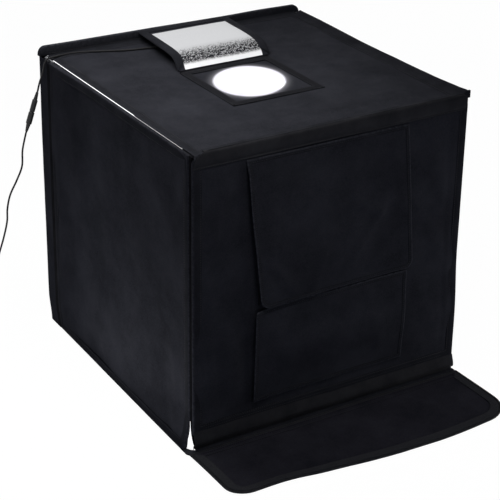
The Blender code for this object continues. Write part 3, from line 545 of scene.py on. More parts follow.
def grid(name: str, columns: int, rows: int, place: Place, size: tuple[float, float],
         rub_and_highlight: Callable[[float, float], float] | None = None) -> Object:
    """Fine grid whose points are laid by a function of two shares, with a UV map in metres.

    Args:
        name: Name of the object.
        columns: Faces across.
        rows: Faces up.
        place: Gives a point's place from its shares across and up.
        size: Flat width and height, for the UV map.
        rub_and_highlight: Gives from the shares how much a point is rubbed and lit by a painted
            highlight.

    Returns:
        The object, without a thickness.
    """
    deselect()
    bpy.ops.mesh.primitive_grid_add(x_subdivisions=columns, y_subdivisions=rows, size=2)
    item = named(bpy.context.active_object, name)
    data = item.data
    shares = [((vert.co.x + 1) / 2, (vert.co.y + 1) / 2) for vert in data.vertices]
    layer = data.uv_layers.active or data.uv_layers.new(name="UVMap")
    for loop in data.loops:
        first, second = shares[loop.vertex_index]
        layer.data[loop.index].uv = (first * size[0], second * size[1])
    for vert, (first, second) in zip(data.vertices, shares):
        vert.co = place(first, second)
    if rub_and_highlight is not None:
        edge = data.attributes.new("edge", "FLOAT", "POINT")
        edge.data.foreach_set("value", [rub_and_highlight(first, second) for first, second in shares])
    return item


def thicken(item: Object, thickness: float) -> Object:
    """Gives a sheet its thickness on both sides of itself.

    Args:
        item: The sheet.
        thickness: Its thickness in millimetres.

    Returns:
        The sheet.
    """
    weld(item)
    modify(item, "SOLIDIFY", thickness=thickness * MM, offset=0)
    smooth(item)
    return item


def lay(name: str, at: At, outline: Outline, drape: Drape, lift: float, thickness: float,
        pitch: float = 4.5) -> Object:
    """Fabric within an outline, laid on a face with its folds; sizes in millimetres.

    Args:
        name: Name of the piece.
        at: Gives a point of the face.
        outline: Edge of the fabric.
        drape: Its folds.
        lift: Height of its outer side above the face.
        thickness: Its thickness.
        pitch: Size of its grid's cells.

    Returns:
        The piece.
    """
    width, height = outline.right - outline.left, outline.top - outline.bottom

    def place(first: float, second: float) -> Vector:
        """Point of the fabric from its two shares."""
        x, y = outline.rounded(outline.left + width * first, outline.bottom + height * second)
        return at(x, y, lift * MM - thickness * MM / 2 + drape.lift(x, y))

    columns, rows = (max(4, round(side / (pitch * MM))) for side in (width, height))
    item = grid(name, columns, rows, place, (width, height))
    return thicken(item, thickness)


def blend_in(value: float, low: float, high: float) -> float:
    """Smooth share from 0 at the low value to 1 at the high one."""
    share = min(max((value - low) / (high - low), 0.0), 1.0)
    return share * share * (3 - 2 * share)


def along_table(table: Sequence[tuple[float, float]], value: float) -> float:
    """Value read from a table of rising places, straight between its rows.

    Args:
        table: Pairs of place and value.
        value: The place that is looked up.

    Returns:
        The value there.
    """
    for (first, low), (second, high) in zip(table, table[1:]):
        if value <= second:
            share = min(max((value - first) / (second - first), 0.0), 1.0)
            return low + (high - low) * share
    return table[-1][1]


def sweep(name: str, at: At, outline: Outline, section: Sequence[tuple[float, float]],
          thickness: float, drape: Drape = FLAT, left_out: "Side | None" = None,
          rub_and_highlight: float = 0.0) -> Object:
    """Strip that follows an outline, with a drawn section.

    Args:
        name: Name of the piece.
        at: Gives a point of the face.
        outline: The line that it follows.
        section: Pairs of inset and lift, in millimetres, from one edge of the strip to the other.
        thickness: The strip's thickness in millimetres.
        drape: Waves that lift the whole strip.
        left_out: A side of the outline that the strip leaves out.
        rub_and_highlight: How much its round edge is rubbed and lit by a painted highlight.

    Returns:
        The piece.
    """
    stations = outline.stations()
    if left_out is not None:
        sign = left_out.value
        kept = [station for station in stations[:-1] if station.normal[1] * sign < 0.5]
        start = next(i for i, station in enumerate(kept) if kept[i - 1].normal[0] * sign > 0.5
                     and station.normal[0] * sign < -0.5)
        stations = kept[start:] + kept[:start]
    columns, rows = len(stations) - 1, len(section) - 1

    def place(first: float, second: float) -> Vector:
        """Point of the strip from its shares along and across.

        Args:
            first: Share along.
            second: Share across.

        Returns:
            The point.
        """
        inset, lift = section[round(second * rows)]
        x, y = outline.point(stations[round(first * columns)], inset * MM)
        return at(x, y, lift * MM + drape.lift(x, y))

    length = 2 * (outline.right - outline.left + outline.top - outline.bottom)
    breadth = sum(math.hypot(b[0] - a[0], b[1] - a[1]) for a, b in zip(section, section[1:])) * MM
    least = min(abs(inset) for inset, _ in section)

    def rub_and_highlight_at(first: float, second: float) -> float:
        """Rubbed wear and painted highlight of a point, from how near it is to the strip's round
        edge.
        """
        inset, lift = section[round(second * rows)]
        return rub_and_highlight * (1 - blend_in(abs(inset) - least, 1.2, 3.2)) * blend_in(lift, -3.5, -1.0)

    return thicken(grid(name, columns, rows, place, (length, breadth), rub_and_highlight_at), thickness)


def profile_strip(name: str, columns: int, section: Sequence[Row],
                  place: Callable[[float, Row], Vector], size: tuple[float, float],
                  thickness: float) -> Object:
    """Strip of fabric with a drawn section along its length.

    Args:
        name: Name of the piece.
        columns: Faces along it.
        section: Rows of numbers, each for one line along the strip.
        place: Gives a point's place from its share along and its row.
        size: Flat length and width, for the UV map.
        thickness: Its thickness in millimetres.

    Returns:
        The piece.
    """
    rows = len(section) - 1
    strip = grid(name, columns, rows,
                 lambda first, second: place(first, section[round(second * rows)]), size)
    return thicken(strip, thickness)


def bound_section(leg: float, depth: float, nose: float = 2.6, sign: int = 1,
                  puff: float = 0.35) -> list[tuple[float, float]]:
    """Section of a tape that is folded over an edge and stitched near its own edge.

    Args:
        leg: Width of the tape on each side, in millimetres.
        depth: Thickness of what it binds, in millimetres.
        nose: How far its round edge reaches.
        sign: 1 round an outer edge, -1 round a hole.
        puff: How far it swells between its stitches and the edge.

    Returns:
        Pairs of inset and lift.
    """
    outer = [(leg, -0.2), (leg - 0.3, 0.22), (leg - 1.2, 0.34), (leg - 2.2, 0.06),
             (leg - 3.2, 0.30)]
    middle = (leg - 3.2 + nose) / 2
    outer += [(middle + (leg - 3.2 - middle) / 2, 0.3 + puff * 0.6), (middle, 0.3 + puff)]
    outer.append(((middle + nose) / 2 + 0.3, 0.3 + puff * 0.6))
    half = depth / 2 + 0.3
    bend = [(nose - nose * math.sin(math.pi * step / 8),
             -depth / 2 + half * math.cos(math.pi * step / 8)) for step in range(9)]
    inner = [(nose + (leg - nose) * share, -depth - 0.3) for share in (0.3, 0.65, 0.9)]
    inner.append((leg, -depth + 0.1))
    return [(sign * inset, lift) for inset, lift in outer + bend + inner]


def seam(name: str, path: Sequence[Vector], out: Vector, pitch: float = 4.0, length: float = 2.7,
         width: float = 0.8) -> Object:
    """Row of stitches along a path; sizes in millimetres.

    Args:
        name: Name of the piece.
        path: Points that the row follows.
        out: Direction out of the fabric.
        pitch: Distance between stitches.
        length: Length of a stitch.
        width: Width of the thread.

    Returns:
        The row as one piece.
    """
    deselect()
    bpy.ops.mesh.primitive_uv_sphere_add(segments=6, ring_count=4, radius=1,
                                         rotation=(0, math.pi / 2, 0))
    stitch = bpy.context.active_object
    settle(stitch)
    stitch.scale = (length * MM / 2, width * MM / 2, width * MM / 2)
    settle(stitch)
    smooth(stitch, 80)
    copies: list[Object] = []
    travelled = pitch * MM / 2
    for first, second in zip(path, path[1:]):
        run = second - first
        reach = run.length
        while travelled < reach:
            ahead = run.normalized()
            side = out.cross(ahead).normalized()
            turn = Matrix((ahead, side, ahead.cross(side))).transposed().to_4x4()
            data = stitch.data.copy()
            data.transform(Matrix.Translation(first + run * (travelled / reach)) @ turn)
            copy = bpy.data.objects.new(name, data)
            bpy.context.collection.objects.link(copy)
            copies.append(copy)
            travelled += pitch * MM
        travelled -= reach
    bpy.data.objects.remove(stitch, do_unlink=True)
    return join(name, copies)


def outline_path(at: At, outline: Outline, inset: float, lift: float, drape: Drape = FLAT,
                 skip: Callable[[float, float], bool] = lambda x, y: False) -> list[Vector]:
    """Points along an outline, moved inwards; sizes in millimetres.

    Args:
        at: Gives a point of the face.
        outline: The line.
        inset: How far inwards.
        lift: Height above the face.
        drape: Waves of the fabric there.
        skip: Tells which places are left out.

    Returns:
        The points.
    """
    points = []
    for station in outline.stations():
        x, y = outline.point(station, inset * MM)
        if not skip(x, y):
            points.append(at(x, y, lift * MM + drape.lift(x, y)))
    return points


def cut(item: Object, at: At, outline: Outline, reach: float = 12 * MM) -> None:
    """Cuts an opening through a piece.

    Args:
        item: The piece.
        at: Gives a point of the face that carries it.
        outline: Edge of the opening.
        reach: How far the cutter stands out on each side.
    """
    centre = ((outline.left + outline.right) / 2, (outline.bottom + outline.top) / 2)
    deselect()
    ring = [outline.point(station, 0.0) for station in outline.stations(40 * MM, 12)[:-1]]
    bpy.ops.mesh.primitive_circle_add(vertices=len(ring), radius=1, fill_type="NGON")
    cutter = bpy.context.active_object
    for vert, (x, y) in zip(cutter.data.vertices, ring):
        vert.co = at(x, y, -reach)
    begin_edit(cutter, whole=True)
    step = at(*centre, reach) - at(*centre, -reach)
    bpy.ops.mesh.extrude_region_move(TRANSFORM_OT_translate={"value": step})
    end_edit()
    weld(cutter)
    modify(item, "BOOLEAN", operation="DIFFERENCE", solver="EXACT", object=cutter)
    bpy.data.objects.remove(cutter, do_unlink=True)
    smooth(item)


def tape_frame(name: str, edges: tuple[float, float, float, float], width: float, level: float,
               thickness: float, corner: float) -> Object:
    """Flat square frame of tape that lies on the top; sizes in millimetres.

    Args:
        name: Name of the piece.
        edges: Left, right, front and rear.
        width: Width of the tape.
        level: Height of its underside.
        thickness: Its thickness.
        corner: Radius of its outer corners.

    Returns:
        The piece.
    """
    left, right, front, rear = (value * MM for value in edges)
    deselect()
    bpy.ops.mesh.primitive_plane_add(size=1,
                                     location=((left + right) / 2, (front + rear) / 2, level * MM))
    item = named(bpy.context.active_object, name)
    item.scale = (right - left, rear - front, 1)
    settle(item)
    begin_edit(item, whole=True)
    bpy.ops.mesh.bevel(offset=corner * MM, segments=4, affect="VERTICES")
    bpy.ops.mesh.select_all(action="SELECT")
    bpy.ops.mesh.inset(thickness=width * MM, depth=0)
    bpy.ops.mesh.delete(type="FACE")
    pick(item, lambda ends: (ends[0] - ends[1]).length > 30 * MM)
    bpy.ops.mesh.subdivide(number_cuts=23)
    bpy.ops.mesh.select_all(action="SELECT")
    bpy.ops.mesh.extrude_region_move(TRANSFORM_OT_translate={"value": (0, 0, thickness * MM)})
    end_edit()
    weld(item)
    bevel(item, 0.28)
    for vert in item.data.vertices:
        vert.co.z += 0.12 * MM * noise.noise(vert.co * 60)
    smooth(item)
    return item


# ---- Finishes


class Graph:
    """Adds nodes to a tree and links them."""

    def __init__(self, tree: bpy.types.NodeTree) -> None:
        """Keeps the tree."""
        self.tree = tree

    def add(self, kind: str, inputs: dict | None = None, **settings: object) -> bpy.types.Node:
        """Adds a node, sets it and links or fills its inputs.

        Args:
            kind: Type of the node.
            inputs: Value or socket for each named or numbered input.
            settings: Values of its properties.

        Returns:
            The node.
        """
        node = self.tree.nodes.new(kind)
        for name, value in settings.items():
            setattr(node, name, value)
        self.fill(node, inputs or {})
        return node

    def fill(self, node: bpy.types.Node, inputs: dict) -> None:
        """Links or fills inputs of a node.

        Args:
            node: The node.
            inputs: Value or socket for each named or numbered input.
        """
        for name, value in inputs.items():
            if isinstance(value, bpy.types.NodeSocket):
                self.tree.links.new(value, node.inputs[name])
            else:
                node.inputs[name].default_value = value

    def math(self, operation: str, first: object, second: object = 0.0,
             third: object = 0.0) -> Socket:
        """Adds a calculation.

        Args:
            operation: Name of the calculation.
            first: First value or socket.
            second: Second value or socket.
            third: Third value or socket.

        Returns:
            Its result.
        """
        return self.add("ShaderNodeMath", {0: first, 1: second, 2: third},
                        operation=operation).outputs[0]

    def blend(self, share: object, first: object, second: object) -> Socket:
        """Mixes two colours.

        Args:
            share: How much of the second, as a value or a socket.
            first: First colour or socket.
            second: Second colour or socket.

        Returns:
            The mixed colour.
        """
        node = self.add("ShaderNodeMix", {0: share, 6: first, 7: second}, data_type="RGBA")
        return node.outputs[2]

    def mark(self, name: str) -> Socket:
        """Reads a value that a piece has on its points."""
        return self.add("ShaderNodeAttribute", attribute_name=name).outputs["Fac"]

    def bump(self, height: Socket, strength: float, distance: float) -> Socket:
        """Turns a height into relief.

        Args:
            height: The height.
            strength: How strong the relief is.
            distance: How deep it is, in millimetres.

        Returns:
            The normal.
        """
        inputs = {"Height": height, "Strength": strength, "Distance": distance * MM}
        return self.add("ShaderNodeBump", inputs).outputs[0]

    def remap(self, value: Socket, low: float, high: float, to_low: float = 0.0,
              to_high: float = 1.0) -> Socket:
        """Stretches a value from one range to another and holds it there.

        Args:
            value: The value.
            low: Where the first range starts.
            high: Where the first range ends.
            to_low: Where the second range starts.
            to_high: Where the second range ends.

        Returns:
            The stretched value.
        """
        inputs = {0: value, 1: low, 2: high, 3: to_low, 4: to_high}
        return self.add("ShaderNodeMapRange", inputs).outputs[0]


@dataclass
class Effects:
    """Shader node groups that several finishes share."""

    groups: dict[str, bpy.types.NodeTree] = field(default_factory=dict)

    def open_group(self, name: str, inputs: dict[str, str],
                   outputs: dict[str, str]) -> tuple[Graph, dict[str, Socket], bpy.types.Node]:
        """Starts a group with named sockets.

        Args:
            name: Name of the group.
            inputs: Kind of each input.
            outputs: Kind of each output.

        Returns:
            Its graph, its inputs by name and its output node.
        """
        tree = bpy.data.node_groups.new(name, "ShaderNodeTree")
        for label, kind in inputs.items():
            tree.interface.new_socket(label, in_out="INPUT", socket_type="NodeSocket" + kind)
        for label, kind in outputs.items():
            tree.interface.new_socket(label, in_out="OUTPUT", socket_type="NodeSocket" + kind)
        self.groups[name] = tree
        graph = Graph(tree)
        source = graph.add("NodeGroupInput")
        target = graph.add("NodeGroupOutput")
        return graph, {label: source.outputs[label] for label in inputs}, target

    def build(self) -> None:
        """Builds every group."""
        self.build_weave()
        self.build_tone()
        self.build_wear_and_highlight()
        self.build_lint()
        self.build_facets()

    def build_weave(self) -> None:
        """Plain weave of warp and weft threads, as a height and a mask of the warp."""
        graph, given, target = self.open_group("plain_weave",
                                               {"Vector": "Vector", "Pitch": "Float"},
                                               {"Height": "Float", "Warp": "Float"})
        split = graph.add("ShaderNodeSeparateXYZ", {0: given["Vector"]})
        waves = []
        for axis in (0, 1):
            turns = graph.math("DIVIDE", split.outputs[axis], given["Pitch"])
            waves.append(graph.math("SINE", graph.math("MULTIPLY", turns, math.pi)))
        warp = graph.math("GREATER_THAN", graph.math("MULTIPLY", waves[0], waves[1]), 0.0)
        heights = []
        for near, far in ((0, 1), (1, 0)):
            body = graph.math("POWER", graph.math("ABSOLUTE", waves[near]), 0.6)
            crown = graph.math("MULTIPLY_ADD", graph.math("ABSOLUTE", waves[far]), 0.45, 0.55)
            heights.append(graph.math("MULTIPLY", body, crown))
        inverse = graph.math("SUBTRACT", 1.0, warp)
        total = graph.math("ADD", graph.math("MULTIPLY", heights[0], warp),
                           graph.math("MULTIPLY", heights[1], inverse))
        graph.fill(target, {"Height": total, "Warp": warp})

    def build_tone(self) -> None:
        """Cloud-like change of a fabric's colour and roughness, with fine fibres."""
        graph, given, target = self.open_group(
            "cloth_tone", {"Vector": "Vector", "Dark": "Color", "Light": "Color", "Scale": "Float"},
            {"Color": "Color", "Roughness": "Float"})
        broad = graph.add("ShaderNodeTexNoise", {"Vector": given["Vector"], "Scale": given["Scale"],
                                                 "Detail": 7.0, "Roughness": 0.66})
        fibre_scale = graph.math("MULTIPLY", given["Scale"], 46.0)
        fibre = graph.add("ShaderNodeTexNoise", {"Vector": given["Vector"], "Scale": fibre_scale,
                                                 "Detail": 2.0})
        share = graph.math("MULTIPLY_ADD", fibre.outputs[0], 1.2,
                           graph.remap(broad.outputs[0], 0.3, 0.7, -0.55, 0.45))
        graph.fill(target, {"Color": graph.blend(share, given["Dark"], given["Light"]),
                            "Roughness": graph.remap(share, 0.0, 1.0, 0.9, 0.74)})

    def build_wear_and_highlight(self) -> None:
        """Lighter colour where the mask of an edge is high, broken up by a grain: rubbed wear and
        painted highlight.
        """
        graph, given, target = self.open_group(
            "edge_wear_and_highlight", {"Vector": "Vector", "Color": "Color", "WornAndLit": "Color", "Edge": "Float"},
            {"Color": "Color"})
        grain = graph.add("ShaderNodeTexNoise",
                          {"Vector": given["Vector"], "Scale": 260.0, "Detail": 3.0})
        share = graph.math("MULTIPLY", given["Edge"],
                           graph.remap(grain.outputs[0], 0.35, 0.7, 0.15, 1.0))
        graph.fill(target, {"Color": graph.blend(share, given["Color"], given["WornAndLit"])})

    def build_lint(self) -> None:
        """Scattered specks of lint and dust, as a mask."""
        graph, given, target = self.open_group(
            "lint", {"Vector": "Vector", "Scale": "Float"}, {"Mask": "Float"})
        cells = graph.add("ShaderNodeTexVoronoi",
                          {"Vector": given["Vector"], "Scale": given["Scale"]})
        patch = graph.add("ShaderNodeTexNoise",
                          {"Vector": given["Vector"], "Scale": 9.0, "Detail": 2.0})
        limit = graph.remap(patch.outputs[0], 0.45, 0.7, 0.0, 0.12)
        graph.fill(target, {"Mask": graph.math("LESS_THAN", cells.outputs["Distance"], limit)})

    def build_facets(self) -> None:
        """Pebbled facets of an embossed film, as a height and a tone for each facet."""
        graph, given, target = self.open_group("film_facets",
                                               {"Vector": "Vector", "Scale": "Float"},
                                               {"Height": "Float", "Tone": "Float"})
        cells = graph.add("ShaderNodeTexVoronoi",
                          {"Vector": given["Vector"], "Scale": given["Scale"]}, feature="F1")
        tone = graph.add("ShaderNodeSeparateColor", {0: cells.outputs["Color"]})
        graph.fill(target, {"Height": cells.outputs["Distance"], "Tone": tone.outputs[0]})

    def use(self, graph: Graph, name: str, inputs: dict) -> bpy.types.Node:
        """Places a group in a material.

        Args:
            graph: The material's graph.
            name: Name of the group.
            inputs: Value or socket for each input.

        Returns:
            The group's node.
        """
        return graph.add("ShaderNodeGroup", inputs, node_tree=self.groups[name])


def start_material(name: str) -> tuple[Material, Graph, bpy.types.Node]:
    """Starts a node material.

    Args:
        name: Name of the material.

    Returns:
        The material, its graph and its Principled shader.
    """
    material = bpy.data.materials.new(name)
    material.use_nodes = True
    graph = Graph(material.node_tree)
    return material, graph, material.node_tree.nodes["Principled BSDF"]


def rgba(colour: Sequence[float]) -> tuple[float, float, float, float]:
    """Colour with full alpha."""
    return (colour[0], colour[1], colour[2], 1.0)


@dataclass(frozen=True)
class Cloth:
    """Finish of a woven black fabric; the pitch is in millimetres."""

    name: str
    dark: tuple[float, float, float]
    light: tuple[float, float, float]
    pitch: float = 0.9
    relief: float = 0.22
    specular: float = 0.02
    clouds: float = 11.0
    # Colour of a painted glow round the camera port, where one is given.
    glow: tuple[float, float, float] | None = None

    def make(self, effects: Effects) -> Material:
        """Builds the material.

        Args:
            effects: The shared node groups.

        Returns:
            The material.
        """
        material, graph, shader = start_material(self.name)
        place = graph.add("ShaderNodeTexCoord")
        spot = place.outputs["Object"]
        tone = effects.use(graph, "cloth_tone", {"Vector": spot, "Dark": rgba(self.dark),
                                                 "Light": rgba(self.light), "Scale": self.clouds})
        weave = effects.use(graph, "plain_weave", {"Vector": place.outputs["UV"],
                                                   "Pitch": self.pitch * MM})
        shade = graph.math("MULTIPLY_ADD", weave.outputs["Height"], 0.35, 0.72)
        threads = graph.blend(1.0, tone.outputs["Color"], shade)
        threads.node.blend_type = "MULTIPLY"
        worn_and_lit = effects.use(graph, "edge_wear_and_highlight", {
            "Vector": spot, "Color": threads, "WornAndLit": rgba([2.3 * value for value in self.light]),
            "Edge": graph.mark("edge")})
        lint = effects.use(graph, "lint", {"Vector": spot, "Scale": 210.0})
        colour = graph.blend(graph.math("MULTIPLY", lint.outputs["Mask"], 0.5),
                             worn_and_lit.outputs["Color"], (0.09, 0.09, 0.1, 1.0))
        bump = graph.bump(weave.outputs["Height"], self.relief, 0.25)
        graph.fill(shader, {"Base Color": colour, "Roughness": tone.outputs["Roughness"],
                            "Normal": bump, "Specular IOR Level": self.specular})
        if self.glow is not None:
            self.light_port(graph, shader, spot)
        return material

    def light_port(self, graph: Graph, shader: bpy.types.Node, spot: Socket) -> None:
        """Paints the lamps' spill round the camera port as a glow on the fabric.

        Args:
            graph: The material's graph.
            shader: Its shader.
            spot: Place on the object.
        """
        mapping = graph.add("ShaderNodeMapping", {
            "Vector": spot, "Location": (-11.9 * MM, -17.7 * MM, 502 * MM),
            "Rotation": (0.0, 0.0, math.radians(144.3)), "Scale": (59 * MM, 71 * MM, 1.0)},
            vector_type="TEXTURE")
        length = graph.add("ShaderNodeVectorMath", {0: mapping.outputs[0]}, operation="LENGTH")
        away = length.outputs["Value"]
        core = graph.remap(away, 0.97, 1.05, 1.0, 0.0)
        halo = graph.math("MULTIPLY",
                          graph.math("POWER", graph.remap(away, 1.0, 1.4, 1.0, 0.0), 4.0), 0.22)
        colour = graph.blend(graph.math("MAXIMUM", core, halo), (0.0, 0.0, 0.0, 1.0),
                             rgba(self.glow))
        graph.fill(shader, {"Emission Color": colour, "Emission Strength": 1.0})


@dataclass(frozen=True)
class Film:
    """Finish of the pebbled silver film: plain where it lies flat, painted with shade, dark
    reflections and a highlight where it bends.
    """

    name: str
    colour: tuple[float, float, float] = (0.66, 0.665, 0.68)
    facets: float = 700.0
    roughness: float = 0.36

    def make(self, effects: Effects) -> Material:
        """Builds the material.

        Args:
            effects: The shared node groups.

        Returns:
            The material.
        """
        material, graph, shader = start_material(self.name)
        place = graph.add("ShaderNodeTexCoord")
        facets = effects.use(graph, "film_facets",
                             {"Vector": place.outputs["UV"], "Scale": self.facets})
        clouds = graph.add("ShaderNodeTexNoise", {"Vector": place.outputs["Object"], "Scale": 14.0})
        # Where the film bends: painted shade, and painted dark reflections on some facets.
        bend = graph.mark("bend")
        dense = graph.remap(bend, 0.3, 1.0, 0.0, 0.7)
        dark = graph.math("LESS_THAN", facets.outputs["Tone"], dense)
        soft = graph.remap(clouds.outputs[0], 0.3, 0.7, 0.0, 0.10)
        base = graph.blend(soft, rgba(self.colour), rgba([0.9 * value for value in self.colour]))
        shaded = graph.blend(graph.math("MULTIPLY", bend, 0.5), base, (0.22, 0.22, 0.225, 1.0))
        painted_shade_and_reflections = graph.blend(dark, shaded, (0.015, 0.015, 0.018, 1.0))
        # Painted highlight along the film's lowest bend.
        flash = graph.mark("flash")
        bright = graph.blend(graph.math("MULTIPLY", flash, 0.9), painted_shade_and_reflections, (0.96, 0.96, 0.97, 1.0))
        bump = graph.bump(facets.outputs["Height"], 0.35, 0.3)
        rough = graph.remap(facets.outputs["Tone"], 0.0, 1.0, self.roughness - 0.08,
                            self.roughness + 0.1)
        graph.fill(shader, {"Base Color": bright, "Roughness": rough, "Normal": bump,
                            "Metallic": 0.85, "Specular IOR Level": 0.1})
        return material


@dataclass(frozen=True)
class Pile:
    """Finish of the fuzzy loop tape."""

    name: str
    dark: tuple[float, float, float] = (0.0085, 0.0085, 0.0105)
    light: tuple[float, float, float] = (0.0160, 0.0162, 0.0190)

    def make(self, effects: Effects) -> Material:
        """Builds the material.

        Args:
            effects: The shared node groups.

        Returns:
            The material.
        """
        material, graph, shader = start_material(self.name)
        spot = graph.add("ShaderNodeTexCoord").outputs["Object"]
        loops = graph.add("ShaderNodeTexNoise", {"Vector": spot, "Scale": 1500.0, "Detail": 3.0,
                                                 "Distortion": 1.2})
        tone = effects.use(graph, "cloth_tone", {"Vector": spot, "Dark": rgba(self.dark),
                                                 "Light": rgba(self.light), "Scale": 26.0})
        curl = graph.remap(loops.outputs[0], 0.4, 0.62)
        colour = graph.blend(curl, tone.outputs["Color"],
                             rgba([1.35 * value for value in self.light]))
        bump = graph.bump(loops.outputs[0], 0.7, 0.4)
        graph.fill(shader, {"Base Color": colour, "Normal": bump, "Roughness": 0.95,
                            "Specular IOR Level": 0.05})
        return material


@dataclass(frozen=True)
class Moulded:
    """Finish of a moulded, extruded or cast piece with a fine grain."""

    name: str
    colour: tuple[float, float, float]
    roughness: float
    grain: float = 900.0
    relief: float = 0.12
    specular: float = 0.4
    metallic: float = 0.0
    streaks: bool = False
    emission: float = 0.0

    def make(self, effects: Effects) -> Material:
        """Builds the material.

        Args:
            effects: The shared node groups.

        Returns:
            The material.
        """
        material, graph, shader = start_material(self.name)
        spot = graph.add("ShaderNodeTexCoord").outputs["Object"]
        if self.streaks:
            mapping = graph.add("ShaderNodeMapping", {"Vector": spot, "Scale": (1.0, 0.02, 1.0)})
            spot = mapping.outputs[0]
        grain = graph.add("ShaderNodeTexNoise",
                          {"Vector": spot, "Scale": self.grain, "Detail": 3.0})
        lint = effects.use(graph, "lint", {"Vector": spot, "Scale": 170.0})
        light = rgba([min(1.0, 1.18 * value) for value in self.colour])
        base = graph.blend(graph.remap(grain.outputs[0], 0.3, 0.7), rgba(self.colour), light)
        dusty = graph.blend(graph.math("MULTIPLY", lint.outputs["Mask"], 0.25), base,
                            (0.3, 0.3, 0.3, 1.0))
        rough = graph.remap(grain.outputs[0], 0.3, 0.7, self.roughness - 0.06,
                            self.roughness + 0.08)
        bump = graph.bump(grain.outputs[0], self.relief, 0.1)
        graph.fill(shader, {"Base Color": dusty, "Roughness": rough, "Normal": bump,
                            "Specular IOR Level": self.specular, "Metallic": self.metallic})
        if self.emission > 0:
            graph.fill(shader, {"Emission Color": base, "Emission Strength": self.emission})
        return material


@dataclass(frozen=True)
class LitFilm:
    """Finish of the film's edge where the lamps inside shine out through a gap, painted as a glow.
    """

    name: str
    colour: tuple[float, float, float] = (1.0, 0.995, 1.0)

    def make(self, effects: Effects) -> Material:
        """Builds the material.

        Args:
            effects: The shared node groups.

        Returns:
            The material.
        """
        material, graph, shader = start_material(self.name)
        spot = graph.add("ShaderNodeTexCoord").outputs["Object"]
        facets = effects.use(graph, "film_facets", {"Vector": spot, "Scale": 600.0})
        lit = graph.mark("lit")
        glint = graph.remap(facets.outputs["Tone"], 0.0, 1.0, 0.85, 1.0)
        share = graph.math("MULTIPLY", lit, glint)
        colour = graph.blend(share, (0.02, 0.02, 0.023, 1.0), rgba(self.colour))
        base = graph.blend(facets.outputs["Tone"], (0.5, 0.5, 0.52, 1.0), (0.6, 0.6, 0.62, 1.0))
        graph.fill(shader, {"Base Color": base, "Roughness": 0.5, "Emission Color": colour,
                            "Emission Strength": 1.05})
        return material


class Finishes:
    """Every material of the tent."""

    def __init__(self) -> None:
        """Builds the shared effects and the materials."""
        effects = Effects()
        effects.build()
        dark, light = (0.0245, 0.0252, 0.0305), (0.0455, 0.0468, 0.0565)
        self.fabric = Cloth("black_oxford_cloth", dark, light).make(effects)
        # The top's cloth carries a painted glow round the camera port.
        self.top_fabric = Cloth("black_oxford_cloth_top", dark, light,
                                glow=(1.0, 0.98, 1.06)).make(effects)
        self.floor_fabric = Cloth("black_oxford_cloth_flap", (0.030, 0.0295, 0.0375),
                                  (0.056, 0.0545, 0.068)).make(effects)
        self.binding = Cloth("black_edge_binding", (0.0195, 0.0200, 0.0240),
                             (0.0320, 0.0328, 0.0390), pitch=0.7, relief=0.3,
                             clouds=24.0).make(effects)
        # Lighter copy of the binding for the header, hem roll and closure flap's edge: painted
        # light where they catch the lamps.
        self.painted_light_binding = Cloth("black_binding_painted_light", (0.032, 0.032, 0.035),
                          (0.052, 0.052, 0.056), pitch=0.7, relief=0.3, clouds=30.0).make(effects)
        # Very dark tape: painted shade in the groove beside the door and at the ends of the top's
        # gap, and the colour of dark seam strips and stitches.
        self.painted_shade_and_seam_tape = Cloth("black_painted_shade_and_seam_tape", (0.0045, 0.0045, 0.0060),
                            (0.0080, 0.0080, 0.0100), pitch=0.7, clouds=24.0).make(effects)
        self.film = Film("silver_film", facets=800.0).make(effects)
        self.lining = Film("silver_lining", (0.70, 0.705, 0.71), 420.0, 0.42).make(effects)
        self.pile = Pile("black_loop_tape").make(effects)
        self.band = Pile("black_loop_band", (0.036, 0.036, 0.040),
                         (0.056, 0.056, 0.061)).make(effects)
        self.thread = Moulded("black_thread", (0.062, 0.062, 0.067), 0.7, 2600.0, 0.4,
                              0.05).make(effects)
        self.board = Moulded("grey_corrugated_board", (0.30, 0.30, 0.31), 0.55, 500.0, 0.2,
                             0.2).make(effects)
        self.white = Moulded("white_backdrop", (0.86, 0.86, 0.86), 0.62, 700.0, 0.1,
                             0.1).make(effects)
        self.channel = Moulded("brushed_channel", (0.60, 0.61, 0.63), 0.34, 1400.0, 0.2, 0.5, 1.0,
                               True).make(effects)
        self.diffuser = Moulded("opal_diffuser", (0.93, 0.93, 0.93), 0.42, 300.0, 0.05, 0.3,
                                emission=70.0).make(effects)
        self.rubber = Moulded("black_rubber", (0.010, 0.010, 0.011), 0.52, 1600.0, 0.15,
                              0.2).make(effects)
        self.plastic = Moulded("black_plastic", (0.016, 0.016, 0.017), 0.38, 1100.0, 0.2,
                               0.3).make(effects)
        self.leak = LitFilm("lit_film_edge").make(effects)


def mark(item: Object, name: str, value: Callable[[Vector], float]) -> None:
    """Writes a value between 0 and 1 on each point, for a finish to read.

    Args:
        item: The piece.
        name: Name of the attribute.
        value: Gives the value at a place.
    """
    layer = item.data.attributes.new(name, "FLOAT", "POINT")
    layer.data.foreach_set("value",
                           [min(1.0, max(0.0, value(vert.co))) for vert in item.data.vertices])


# ---- Panels


@dataclass
class Assembly:
    """A sub-assembly of the tent, which dresses its pieces in the tent's materials."""

    finishes: Finishes

    def build(self) -> None:
        """Builds the pieces of the sub-assembly."""
        raise NotImplementedError


